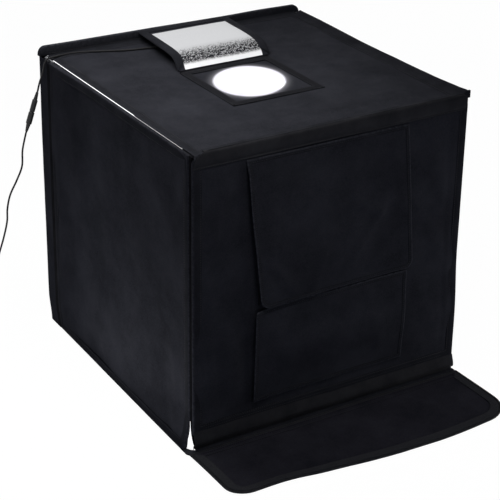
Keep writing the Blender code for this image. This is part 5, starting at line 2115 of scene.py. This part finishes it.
@dataclass
class WindowFlaps(Assembly):
    """The two flaps that close the door's windows, and the loop tape under them."""

    inner: float = 255.0
    upper_foot: float = 225.5
    upper_size: tuple[float, float] = (296, 255)
    lower_foot: float = 60
    lower_size: tuple[float, float] = (292, 163)
    billow: float = 6.5
    belly: float = 1.4
    upper_stand: tuple[float, float] = (6.4, 1.6)
    lower_stand: tuple[float, float] = (7.2, 1.4)
    edge_width: float = 0.05
    lower_edge_width: float = 0.06
    lean: tuple[float, float] = (22, 12)
    shift: float = 1.5
    upper: Outline = Outline.mm(-148, 148, 225.5, 480.5, 22, 15, 1.5, 1.5)
    lower: Outline = Outline.mm(-146, 146, 60, 223, 1.5, 1.5, 3, 3)

    def upper_at(self, across: float, up: float, lift: float) -> Vector:
        """Point of the upper flap, which hangs askew and stands out at its lower left.

        Args:
            across: Place across the straight flap.
            up: Height.
            lift: Distance out of it.

        Returns:
            The point.
        """
        wide, tall = self.upper_size
        rise = (up / MM - self.upper_foot) / tall
        share = min(max(across / (wide * MM) + 0.5, 0.0), 1.0)
        fall = min(max(1 - rise, 0.0), 1.0)
        billow = self.billow * (0.12 + 0.88 * (1 - share) ** 1.3) * fall ** 1.6
        height = min(max(rise, 0.0), 1.0)
        billow += self.belly * math.sin(math.pi * share) * math.sin(math.pi * height)
        left, right = self.upper_stand
        billow += left * math.exp(-share / self.edge_width) * blend_in(1 - rise, 0.0, 0.12)
        billow += right * math.exp(-(1 - share) / self.edge_width) * blend_in(1 - rise, 0.0, 0.2)
        lean = self.lean[0] * (1 - rise) - self.lean[1]
        side = 5.0 * math.exp(-((rise - 0.72) / 0.3) ** 2) * (1 - share) * -0.5
        return Vector((across + (lean + side) * MM, -(self.inner + billow) * MM - lift, up))

    def lower_at(self, across: float, up: float, lift: float) -> Vector:
        """Point of the lower flap, whose left edge stands off the door.

        Args:
            across: Place across.
            up: Height.
            lift: Distance out of it.

        Returns:
            The point.
        """
        wide, tall = self.lower_size
        side = min(max(across / (wide * MM) + 0.5, 0.0), 1.0)
        rise = min(max((up / MM - self.lower_foot) / tall, 0.0), 1.0)
        left, right = self.lower_stand
        stand = left * math.exp(-side / self.lower_edge_width) * (0.6 + 0.4 * math.sqrt(rise))
        stand += right * math.exp(-(1 - side) / self.edge_width) * rise
        return Vector((across + self.shift * MM * rise, -(self.inner + stand) * MM - lift, up))

    def build(self) -> None:
        """Builds both flaps."""
        folds = folds_of(
            (-20, 300, -50, 235, 10, 3.5), (15, 330, -10, 240, 12, -2.2),
            (40, 372, 92, 336, 10, 3.2), (92, 352, 28, 268, 9, 4.2),
            (112, 326, 62, 250, 10, -2.6), (-120, 300, -80, 240, 10, 2.9),
            (-100, 440, -130, 330, 16, 2.6), (118, 440, 138, 330, 12, 2.2),
            (-130, 262, -60, 250, 10, 1.3),
        )
        self.flap("upper_flap", Body.UPPER_FLAP, self.upper_at, self.upper,
                  Drape(1.7, 85, 0.3, 71, folds))
        folds = folds_of(
            (-110, 190, -90, 90, 14, 1.4), (70, 200, 95, 90, 12, 1.6),
            (-20, 120, 90, 100, 14, -0.8),
        )
        self.flap("lower_flap", Body.LOWER_FLAP, self.lower_at, self.lower,
                  Drape(1.3, 90, 0.25, 81, folds + FRONT_WAVES))

    def flap(self, name: str, body: Body, at: At, outline: Outline, drape: Drape) -> None:
        """Builds a flap with its narrow binding and stitches.

        Args:
            name: Name of the flap.
            body: Its body.
            at: Gives a point of it.
            outline: Its edge.
            drape: Its folds.
        """
        cover = lay(name + "_fabric", at, outline.shrunk(0.8, 0.5), drape, 1.2, 1.0, 3.6)
        fit(cover, body, Slot.FABRIC, self.finishes.fabric, name + "_cover")
        section = [(7.5, 1.0), (7.2, 1.5), (6.2, 1.7), (5.2, 1.45), (4.0, 1.75), (2.2, 1.85),
                   (1.0, 1.6), (0.2, 1.1), (0.0, 0.6), (0.4, 0.15), (2.0, -0.05), (5.0, -0.05)]
        edge = sweep(name + "_edge_binding", at, outline, section, 0.4, drape, rub_and_highlight=0.9)
        fit(edge, body, Slot.BINDING, self.finishes.binding, name + "_binding")
        path = outline_path(at, outline, 5.2, 1.85, drape)
        row = seam(name + "_stitches", path, -Y, 3.8, 2.6, 0.55)
        fit(row, body, Slot.BINDING, self.finishes.thread)


@dataclass
class ClosureFlap(Assembly):
    """Wide flap on the table in front of the door, with a bound edge and a band of loop tape."""

    root: float = -262.8
    depth: float = 157.2
    half: float = 262
    edge_rise: float = 2.2
    corner_rise: tuple[float, float] = (1.4, 2.2)
    wave_height: float = 1.3
    wave_length: float = 46
    rest: float = 0.75
    outline: Outline = Outline.mm(-265, 263, -420, -262.8, 36, 50, 0.8, 0.8)
    front: tuple[tuple[float, float], ...] = ((-230, 19), (-183, 20), (-148, 17), (-115, 10),
                                              (-79, 6.5), (-44, 1), (-9, -3), (28, -6), (67, -7),
                                              (105, -9), (147, -7.5), (192, -3.5), (220, -1),
                                              (263, 2))

    def at(self, across: float, along: float, lift: float) -> Vector:
        """Point of the flap, whose front edge runs aslant.

        Args:
            across: Place across.
            along: Place from front to rear.
            lift: Height above the flap's underside.

        Returns:
            The point.
        """
        reach = min(max((self.root - along / MM) / self.depth, 0.0), 1.0)
        slant = sum(along_table(self.front, across / MM + step) for step in (-16, -8, 0, 8, 16)) / 5
        slant *= MM * reach ** 1.2
        edge = self.edge_rise * math.exp(-((reach - 1.0) / 0.16) ** 2)
        left = self.corner_rise[0] * math.exp(-((across / MM + self.half) / 30) ** 2)
        right = self.corner_rise[1] * math.exp(-((across / MM - self.half) / 40) ** 2) * reach
        turn = across / MM / self.wave_length + reach * 2.2
        wave = self.wave_height * (0.5 + 0.5 * math.sin(turn)) * math.sin(math.pi * reach) ** 0.6
        rise = (self.rest + (edge + left + right) * 0.35 + wave) * MM
        return Vector((across, along + slant, rise + lift))

    def build(self) -> None:
        """Builds the flap."""
        folds = folds_of(
            (-250, -300, -120, -380, 18, 0.9), (-60, -300, 40, -330, 20, 0.8),
            (80, -290, 230, -340, 16, 0.9), (-240, -268, 250, -284, 3.2, 0.7),
            (-240, -274, 250, -291, 3.2, -0.35),
        )
        drape = Drape(0.5, 80, 0.2, 91, folds)
        soft = Drape(0.3, 80, 0.1, 91)
        outline = self.outline
        inner = outline.shrunk(1.2, 0.5, 0)
        cover = lay("closure_flap_fabric", self.at, inner, drape, 1.35, 1.1, 4)
        fit(cover, Body.CLOSURE_FLAP, Slot.FABRIC, self.finishes.floor_fabric, "closure_flap_cover")
        section = [(4.6, 1.2), (4.2, 1.7), (3.2, 2.0), (2.0, 2.15), (1.0, 1.9), (0.25, 1.4),
                   (0.0, 0.8), (0.3, 0.25), (1.2, -0.1), (3.5, -0.15)]
        edge = sweep("closure_flap_edge_binding", self.at, outline, section, 0.5, soft, rub_and_highlight=0.5)
        fit(edge, Body.CLOSURE_FLAP, Slot.BINDING, self.finishes.painted_light_binding, "closure_flap_binding")
        section = [(5.2, 1.5), (5.6, 2.3), (8.0, 2.45), (12.5, 2.45), (17.5, 2.35), (19.4, 2.2),
                   (19.8, 1.5)]
        band = sweep("closure_flap_loop_band", self.at, outline, section, 0.4, soft, Side.TOP)
        fit(band, Body.CLOSURE_FLAP, Slot.LOOP, self.finishes.band, "closure_flap_band")
        for number, (inset, lift) in enumerate(((3.4, 2.3), (6.6, 2.75), (18.6, 2.65)), 1):
            path = outline_path(self.at, outline, inset, lift, soft, lambda x, y: y > -268 * MM)
            row = seam("closure_flap_stitches_%d" % number, ordered(path), Z, 4.0, 2.8, 0.6)
            fit(row, Body.CLOSURE_FLAP, Slot.BINDING, self.finishes.thread)
        for number, offset in enumerate((10, 19), 1):
            along = (self.root - offset) * MM
            path = [self.at(x * MM, along, 1.75 * MM + drape.lift(x * MM, along))
                    for x in range(-250, 252, 6)]
            row = seam("closure_flap_root_stitches_%d" % number, path, Z, 4.0, 2.8, 0.6)
            fit(row, Body.CLOSURE_FLAP, Slot.FABRIC, self.finishes.painted_shade_and_seam_tape)


def ordered(path: list[Vector]) -> list[Vector]:
    """Turns a closed path so that it starts after its widest gap.

    Args:
        path: Points of the path.

    Returns:
        The turned path.
    """
    gaps = [(path[i] - path[i - 1]).length for i in range(len(path))]
    start = gaps.index(max(gaps))
    return path[start:] + path[:start]


@dataclass
class Base(Assembly):
    """Floor panel's two skins, the padded apron and the lit corner in front of the left wall."""

    panel: Outline = Outline.mm(-248, 248, -248, 248.6, 3)
    left_gusset: Outline = Outline.mm(-267, -246, -264.5, -226, 9, 2, 1, 14)
    right_gusset: Outline = Outline.mm(238, 262.4, -264.5, -246, 1, 2, 9, 1)

    def build(self) -> None:
        """Builds the floor."""
        under = lay("floor_fabric", FLOOR_FACE.at, self.panel, Drape(0.1, 90, 0.05, 14), 0.9,
                    0.7, 8)
        fit(under, Body.SHELL, Slot.FABRIC, self.finishes.fabric, "floor_cover")
        film = lay("floor_film", FLOOR_FACE.at, self.panel, Drape(0.25, 60, 0.12, 15), 4.95, 0.4, 7)
        fit(film, Body.SHELL, Slot.FILM, self.finishes.lining, "floor_liner")
        self.apron()
        self.lit_corner()

    def apron(self) -> None:
        """Padded strip that carries the closure flap in front of the floor."""
        item = block("floor_apron_pad", (0, -255.2, 1.35), (495.6, 13.4, 2.6))
        begin_edit(item)
        pick(item, lambda ends: abs(ends[0].x - ends[1].x) > 300 * MM)
        bpy.ops.mesh.subdivide(number_cuts=80)
        pick(item, lambda ends: abs(ends[0].y - ends[1].y) > 10 * MM)
        bpy.ops.mesh.subdivide(number_cuts=5)
        end_edit()
        bevel(item, 0.7)
        for vert in item.data.vertices:
            if vert.co.z > 1.5 * MM:
                vert.co.z += 0.25 * MM * noise.noise(vert.co * 45)
        smooth(item)
        fit(item, Body.SHELL, Slot.FABRIC, self.finishes.fabric, "floor_apron")

    def lit_corner(self) -> None:
        """Film at the lower front corner, painted glowing where the lamps shine out beside the left
        wall.
        """
        tip, left, middle, right = (mm(*p) for p in (
            (-254.3, -247.4, 0), (-261.0, -239.5, 0), (-256.4, -250.5, 0), (-250.2, -255.6, 0)))

        def place(first: float, second: float) -> Vector:
            """Point of the film from its shares round the corner and up.

            Args:
                first: Share round the corner.
                second: Share up.

            Returns:
                The point.
            """
            wide = 0.03 + 0.97 * (1 - second) ** 2.5
            foot = (left.lerp(middle, first / 0.55) if first < 0.55
                    else middle.lerp(right, (first - 0.55) / 0.45))
            return tip.lerp(foot, wide) + Z * MM * (2.6 + 50 * second)

        item = thicken(grid("corner_lit_film", 20, 26, place, (0.02, 0.06)), 0.3)
        mark(item, "lit", lambda spot: 1.0)
        fit(item, Body.SHELL, Slot.FILM, self.finishes.leak)
        gussets = (("corner_gusset", self.left_gusset, 6),
                   ("apron_right_gusset", self.right_gusset, 16))
        for name, outline, seed in gussets:
            item = lay(name, FLOOR_FACE.at, outline, Drape(0.3, 20, 0.15, seed), 1.2, 0.9, 1.5)
            fit(item, Body.SHELL, Slot.FABRIC, self.finishes.fabric)


@dataclass
class Inside(Assembly):
    """Backdrop sheet and the lamps' carried-over bars."""

    half: float = 225 * MM
    top: float = 470 * MM
    radius: float = 110 * MM
    back: float = 248.2 * MM
    foot: float = 5.9 * MM
    front: float = -204.5 * MM

    def build(self) -> None:
        """Builds the backdrop and dresses the boards and light bars."""
        radius, foot, start = self.radius, self.foot, self.back - self.radius
        route = [(self.back, self.top)]
        route += [(self.back, self.top - (self.top - foot - radius) * k / 12) for k in range(1, 12)]
        route += [(start + radius * math.cos(a), foot + radius - radius * math.sin(a))
                  for a in (math.pi / 32 * k for k in range(17))]
        route += [(start + (self.front - start) * k / 24, foot) for k in range(1, 25)]

        def place(first: float, row: Row) -> Vector:
            """Point of the sheet from its share across and its row.

            Args:
                first: Share across.
                row: Row of the route.

            Returns:
                The point.
            """
            y, z = row
            x = self.half * (2 * first - 1)
            ripple = 0.35 * MM * noise.noise(Vector((x * 9, y * 9, z * 9)))
            return Vector((x, y - abs(ripple), z + 0.45 * MM + abs(ripple)))

        sheet = profile_strip("backdrop_sheet", 60, route, place, (0.45, 0.85), 0.6)
        fit(sheet, Body.SHELL, Slot.SHEET, self.finishes.white, "backdrop")
        clips = self.clips()
        for node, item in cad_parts.items():
            for slot in item.material_slots:
                slot.material = self.finish_of(node)

    def clips(self) -> list[Object]:
        """Two patches of loop tape that hold the sheet's upper corners.

        Returns:
            The patches.
        """
        made = []
        for side, name in ((-1, "left"), (1, "right")):
            face = Face(X, Z, -Y, -247.3 * MM)
            middle = side * 196
            outline = Outline.mm(middle - 24, middle + 24, 446, 464, 2)
            item = lay("backdrop_tape_" + name, face.at, outline, Drape(0.05, 30, 0.1, 3), 1.2,
                       0.8, 3)
            made.append(fit(item, Body.SHELL, Slot.LOOP, self.finishes.pile))
        return made

    def finish_of(self, node: str) -> Material:
        """Material of a carried-over CAD node.

        Args:
            node: Name of the node.

        Returns:
            The material.
        """
        own = self.finishes
        kinds = (("board", own.board), ("channel", own.channel), ("diffuser", own.diffuser),
                 ("gland", own.rubber), ("socket", own.plastic), ("plug", own.plastic),
                 ("adapter", own.plastic), ("tape", own.pile))
        for word, finish in kinds:
            if word in node:
                return finish
        return self.finishes.binding


@dataclass
class Wiring(Assembly):
    """The tent's lead with its socket, and the adapter's lead wound into its coil."""

    socket_top: Vector = field(default_factory=lambda: mm(-272.5, 240.5, 446))
    plug_end: Vector = field(default_factory=lambda: mm(-295.5, 241, 380))
    coil: Vector = field(default_factory=lambda: mm(-428, 258, 1.65))

    def boot_tip(self) -> tuple[Vector, Vector]:
        """Tip of the gland's boot and the direction in which the lead leaves it.

        Returns:
            The tip and the direction.
        """
        turn = math.radians(-18)
        ahead = Vector((-math.cos(turn), -math.sin(turn), 0))
        return Vector((-46 * MM, 188 * MM, 505.4 * MM)) + ahead * 25 * MM, ahead

    def lead_points(self) -> list[Vector]:
        """Route of the lead, over the top and down to the socket.

        Returns:
            Its points.
        """
        tip, ahead = self.boot_tip()
        axis = (self.plug_end - self.socket_top).normalized()
        start, end = tip + ahead * 0.3 * MM, self.socket_top - axis * 0.3 * MM
        route = [(-80, 200, 504.6), (-96, 204, 503.9), (-115, 208.5, 503.8), (-137, 217, 503.8),
                 (-160, 226.8, 503.8), (-183, 236.5, 503.8), (-206, 241.6, 503.9),
                 (-226.5, 239.2, 504.6), (-240, 233.6, 505.8), (-249.5, 229.6, 507.0),
                 (-257.5, 228.8, 505.2), (-262.2, 229.4, 497), (-264.2, 231.2, 485),
                 (-266.6, 234.4, 474), (-269.4, 237.6, 462)]
        points = [start, start + ahead * CORD_STRAIGHT, *(mm(*p) for p in route)]
        return smooth_path([*points, end - axis * CORD_STRAIGHT, end], 4 * MM)

    def coil_points(self) -> list[Vector]:
        """Line of the coil, spiralling in on its lower layer and out on its upper one.

        Returns:
            Its points.
        """
        turns, reversal, steps, bend = 7.25, 3.625, 174, 0.15
        pitch, layer, climb = 3.9 * MM, 3.8 * MM, 0.25
        inner = 19.2 * MM - pitch * math.hypot(reversal, bend) / 2
        points = []
        for step in range(steps + 1):
            turn = turns * step / steps
            radius = inner + pitch * math.hypot(turn - reversal, bend)
            rise = layer * blend_in(turn, reversal - climb, reversal + climb)
            angle = -math.pi / 2 - 2 * math.pi * turn
            points.append(self.coil
                          + Vector((radius * math.cos(angle), radius * math.sin(angle), rise)))
        return [points[0] + X * CORD_STRAIGHT, *points, points[-1] + Y * 19 * MM]

    def supply_points(self) -> list[Vector]:
        """Route of the adapter's lead from its plug to the coil, and the coil itself.

        Returns:
            Its points.
        """
        axis = (self.plug_end - self.socket_top).normalized()
        coil = self.coil_points()
        start, end = self.plug_end + axis * 0.3 * MM, coil[0] + X * 0.3 * MM
        route = [(-304.5, 241, 347), (-307, 241, 318), (-318, 241, 294), (-332, 240, 270),
                 (-339, 239, 246), (-341, 239, 222), (-349, 239, 193), (-358, 240, 166),
                 (-368, 240, 134), (-377, 239, 98), (-385, 238, 62), (-393, 237, 30),
                 (-402, 235.5, 10), (-412, 234, 3)]
        points = [start, start + axis * CORD_STRAIGHT, *(mm(*p) for p in route)]
        return smooth_path([*points, end + X * CORD_STRAIGHT, end], 4 * MM) + coil

    def flex(self, name: str, points: Sequence[Vector]) -> tuple[Object, float]:
        """Round flexible lead along points.

        Args:
            name: Name of the piece.
            points: Its middle line.

        Returns:
            The lead and its length.
        """
        data = bpy.data.curves.new(name, "CURVE")
        data.dimensions = "3D"
        data.bevel_depth = CORD_RADIUS
        data.bevel_resolution = 4
        data.use_fill_caps = True
        spline = data.splines.new("POLY")
        spline.points.add(len(points) - 1)
        for target, point in zip(spline.points, points):
            target.co = (*point, 1)
        spline.use_smooth = True
        item = bpy.data.objects.new(name, data)
        bpy.context.collection.objects.link(item)
        return item, sum((b - a).length for a, b in zip(points, points[1:]))

    def build(self) -> None:
        """Builds both leads."""
        points = self.lead_points()
        lead, length = self.flex("lead_flex", points)
        fit(lead, Body.SHELL, Slot.RUBBER, self.finishes.rubber, "lead_cord")
        tuple(points[0])
        points = self.supply_points()
        supply, length = self.flex("supply_flex", points)
        fit(supply, Body.SHELL, Slot.RUBBER, self.finishes.rubber, "supply_cord", "supply_coil")
        tuple(points[0])


def seen_rays(graph: Graph) -> Socket:
    """Mask of the rays that look at the surroundings: camera, glossy and transmission rays.

    Args:
        graph: The graph of the material or world.

    Returns:
        The mask.
    """
    rays = graph.add("ShaderNodeLightPath")
    seen = graph.math("MAXIMUM", rays.outputs["Is Camera Ray"], rays.outputs["Is Glossy Ray"])
    return graph.math("MAXIMUM", seen, rays.outputs["Is Transmission Ray"])


@dataclass
class Studio:
    """Camera, lamps, pale floor and white surroundings."""

    place: Vector = field(default_factory=lambda: mm(-1340.3, -2171.9, 1433.5))
    tilt: float = 0.45483
    roll: float = 0.013915
    heading: float = 0.55449
    focal: float = 1649.5

    def build(self) -> None:
        """Builds the studio."""
        self.camera()
        self.floor()
        self.world()
        self.lamp("key_softbox", (-0.24, 0.06, 1.0), (0.34, 0.42), 2.35, (-0.2, 0.05, 0.5))
        self.lamp("left_bounce", (-0.47, -0.10, 0.004), (0.32, 0.46), 0.70, (-0.47, -0.10, 1))
        self.lamp("front_softbox", (-0.2, -0.64, 1.0), (0.3, 0.2), 0.21, (-0.1, -0.26, 0.2), 75)
        self.lamp("right_softbox", (0.66, -0.66, 0.16), (0.3, 0.2), 0.62, (0.15, -0.28, 0.08))
        bpy.context.scene.view_settings.view_transform = "Standard"

    def camera(self) -> None:
        """Places the photograph's camera."""
        fore = Vector((math.sin(self.heading) * math.cos(self.tilt),
                       math.cos(self.heading) * math.cos(self.tilt), -math.sin(self.tilt)))
        right = Vector((math.cos(self.heading), -math.sin(self.heading), 0))
        down = fore.cross(right)
        turn_right = right * math.cos(self.roll) - down * math.sin(self.roll)
        turn_down = right * math.sin(self.roll) + down * math.cos(self.roll)
        data = bpy.data.cameras.new("photo_camera")
        data.sensor_width = SENSOR_WIDTH
        data.sensor_fit = "HORIZONTAL"
        data.lens = self.focal * SENSOR_WIDTH / PHOTO_WIDTH
        camera = bpy.data.objects.new("photo_camera", data)
        basis = Matrix((turn_right, -turn_down, -fore)).transposed().to_4x4()
        camera.matrix_world = Matrix.Translation(self.place) @ basis
        bpy.context.scene.collection.objects.link(camera)
        bpy.context.scene.camera = camera

    def floor(self) -> None:
        """Wide pale floor that shows white and keeps a faint shadow."""
        deselect()
        bpy.ops.mesh.primitive_plane_add(size=24, location=(0, 0, -0.1 * MM))
        item = named(bpy.context.active_object, "studio_floor")
        settle(item)
        material, graph, shader = start_material("pale_floor")
        seen = seen_rays(graph)
        spot = graph.add("ShaderNodeTexCoord").outputs["Object"]
        grain = graph.add("ShaderNodeTexNoise", {"Vector": spot, "Scale": 40.0})
        pale = graph.blend(grain.outputs[0], (0.60, 0.64, 0.84, 1.0), (0.64, 0.68, 0.88, 1.0))
        graph.fill(shader,
                   {"Base Color": graph.blend(seen, pale, (0.9, 0.9, 0.9, 1.0)),
                    "Roughness": 0.9, "Specular IOR Level": 0.0})
        white = graph.add("ShaderNodeEmission", {"Color": (1, 1, 1, 1), "Strength": 1.06})
        share = graph.math("MULTIPLY", seen, 0.93)
        mix = graph.add("ShaderNodeMixShader",
                        {0: share, 1: shader.outputs[0], 2: white.outputs[0]})
        output = material.node_tree.nodes["Material Output"]
        graph.fill(output, {"Surface": mix.outputs[0]})
        item.data.materials.append(material)

    def world(self) -> None:
        """White surroundings for what is seen, and a dimmer plain light on the object."""
        world = bpy.data.worlds.new("white_studio")
        bpy.context.scene.world = world
        world.use_nodes = True
        graph = Graph(world.node_tree)
        graph.tree.nodes.clear()
        seen = seen_rays(graph)
        soft = graph.add("ShaderNodeBackground",
                         {"Color": (0.80, 0.88, 1.22, 1.0), "Strength": 0.05})
        white = graph.add("ShaderNodeBackground", {"Color": (1, 1, 1, 1), "Strength": 1.0})
        mix = graph.add("ShaderNodeMixShader", {0: seen, 1: soft.outputs[0], 2: white.outputs[0]})
        graph.add("ShaderNodeOutputWorld", {0: mix.outputs[0]})

    def lamp(self, name: str, place: Sequence[float], size: tuple[float, float], power: float,
             target: Sequence[float], spread: float = 180) -> None:
        """Soft lamp, or the light that a part of the table sends back.

        Args:
            name: Name of the lamp.
            place: Where it is.
            size: Sides of its rectangle.
            power: Its power in watts.
            target: The point that it faces.
            spread: Angle of its beam in degrees.
        """
        data = bpy.data.lights.new(name, "AREA")
        data.spread = math.radians(spread)
        data.shape = "RECTANGLE"
        data.size, data.size_y = size
        data.energy = power
        item = bpy.data.objects.new(name, data)
        item.location = place
        item.rotation_euler = (Vector(target) - Vector(place)).to_track_quat("-Z", "Y").to_euler()
        item.visible_camera = False
        bpy.context.scene.collection.objects.link(item)


def main() -> None:
    """Builds the studio and the tent, piece by piece."""
    logging.basicConfig(level=logging.INFO, format="%(message)s")
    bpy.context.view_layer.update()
    deselect()
    Studio().build()
    finishes = Finishes()
    for part in (Wiring, Back, Roof, PortFlap, SideWalls, Door, WindowFlaps, ClosureFlap,
                 Base, Inside):
        part(finishes).build()


if __name__ == "__main__":
    main()
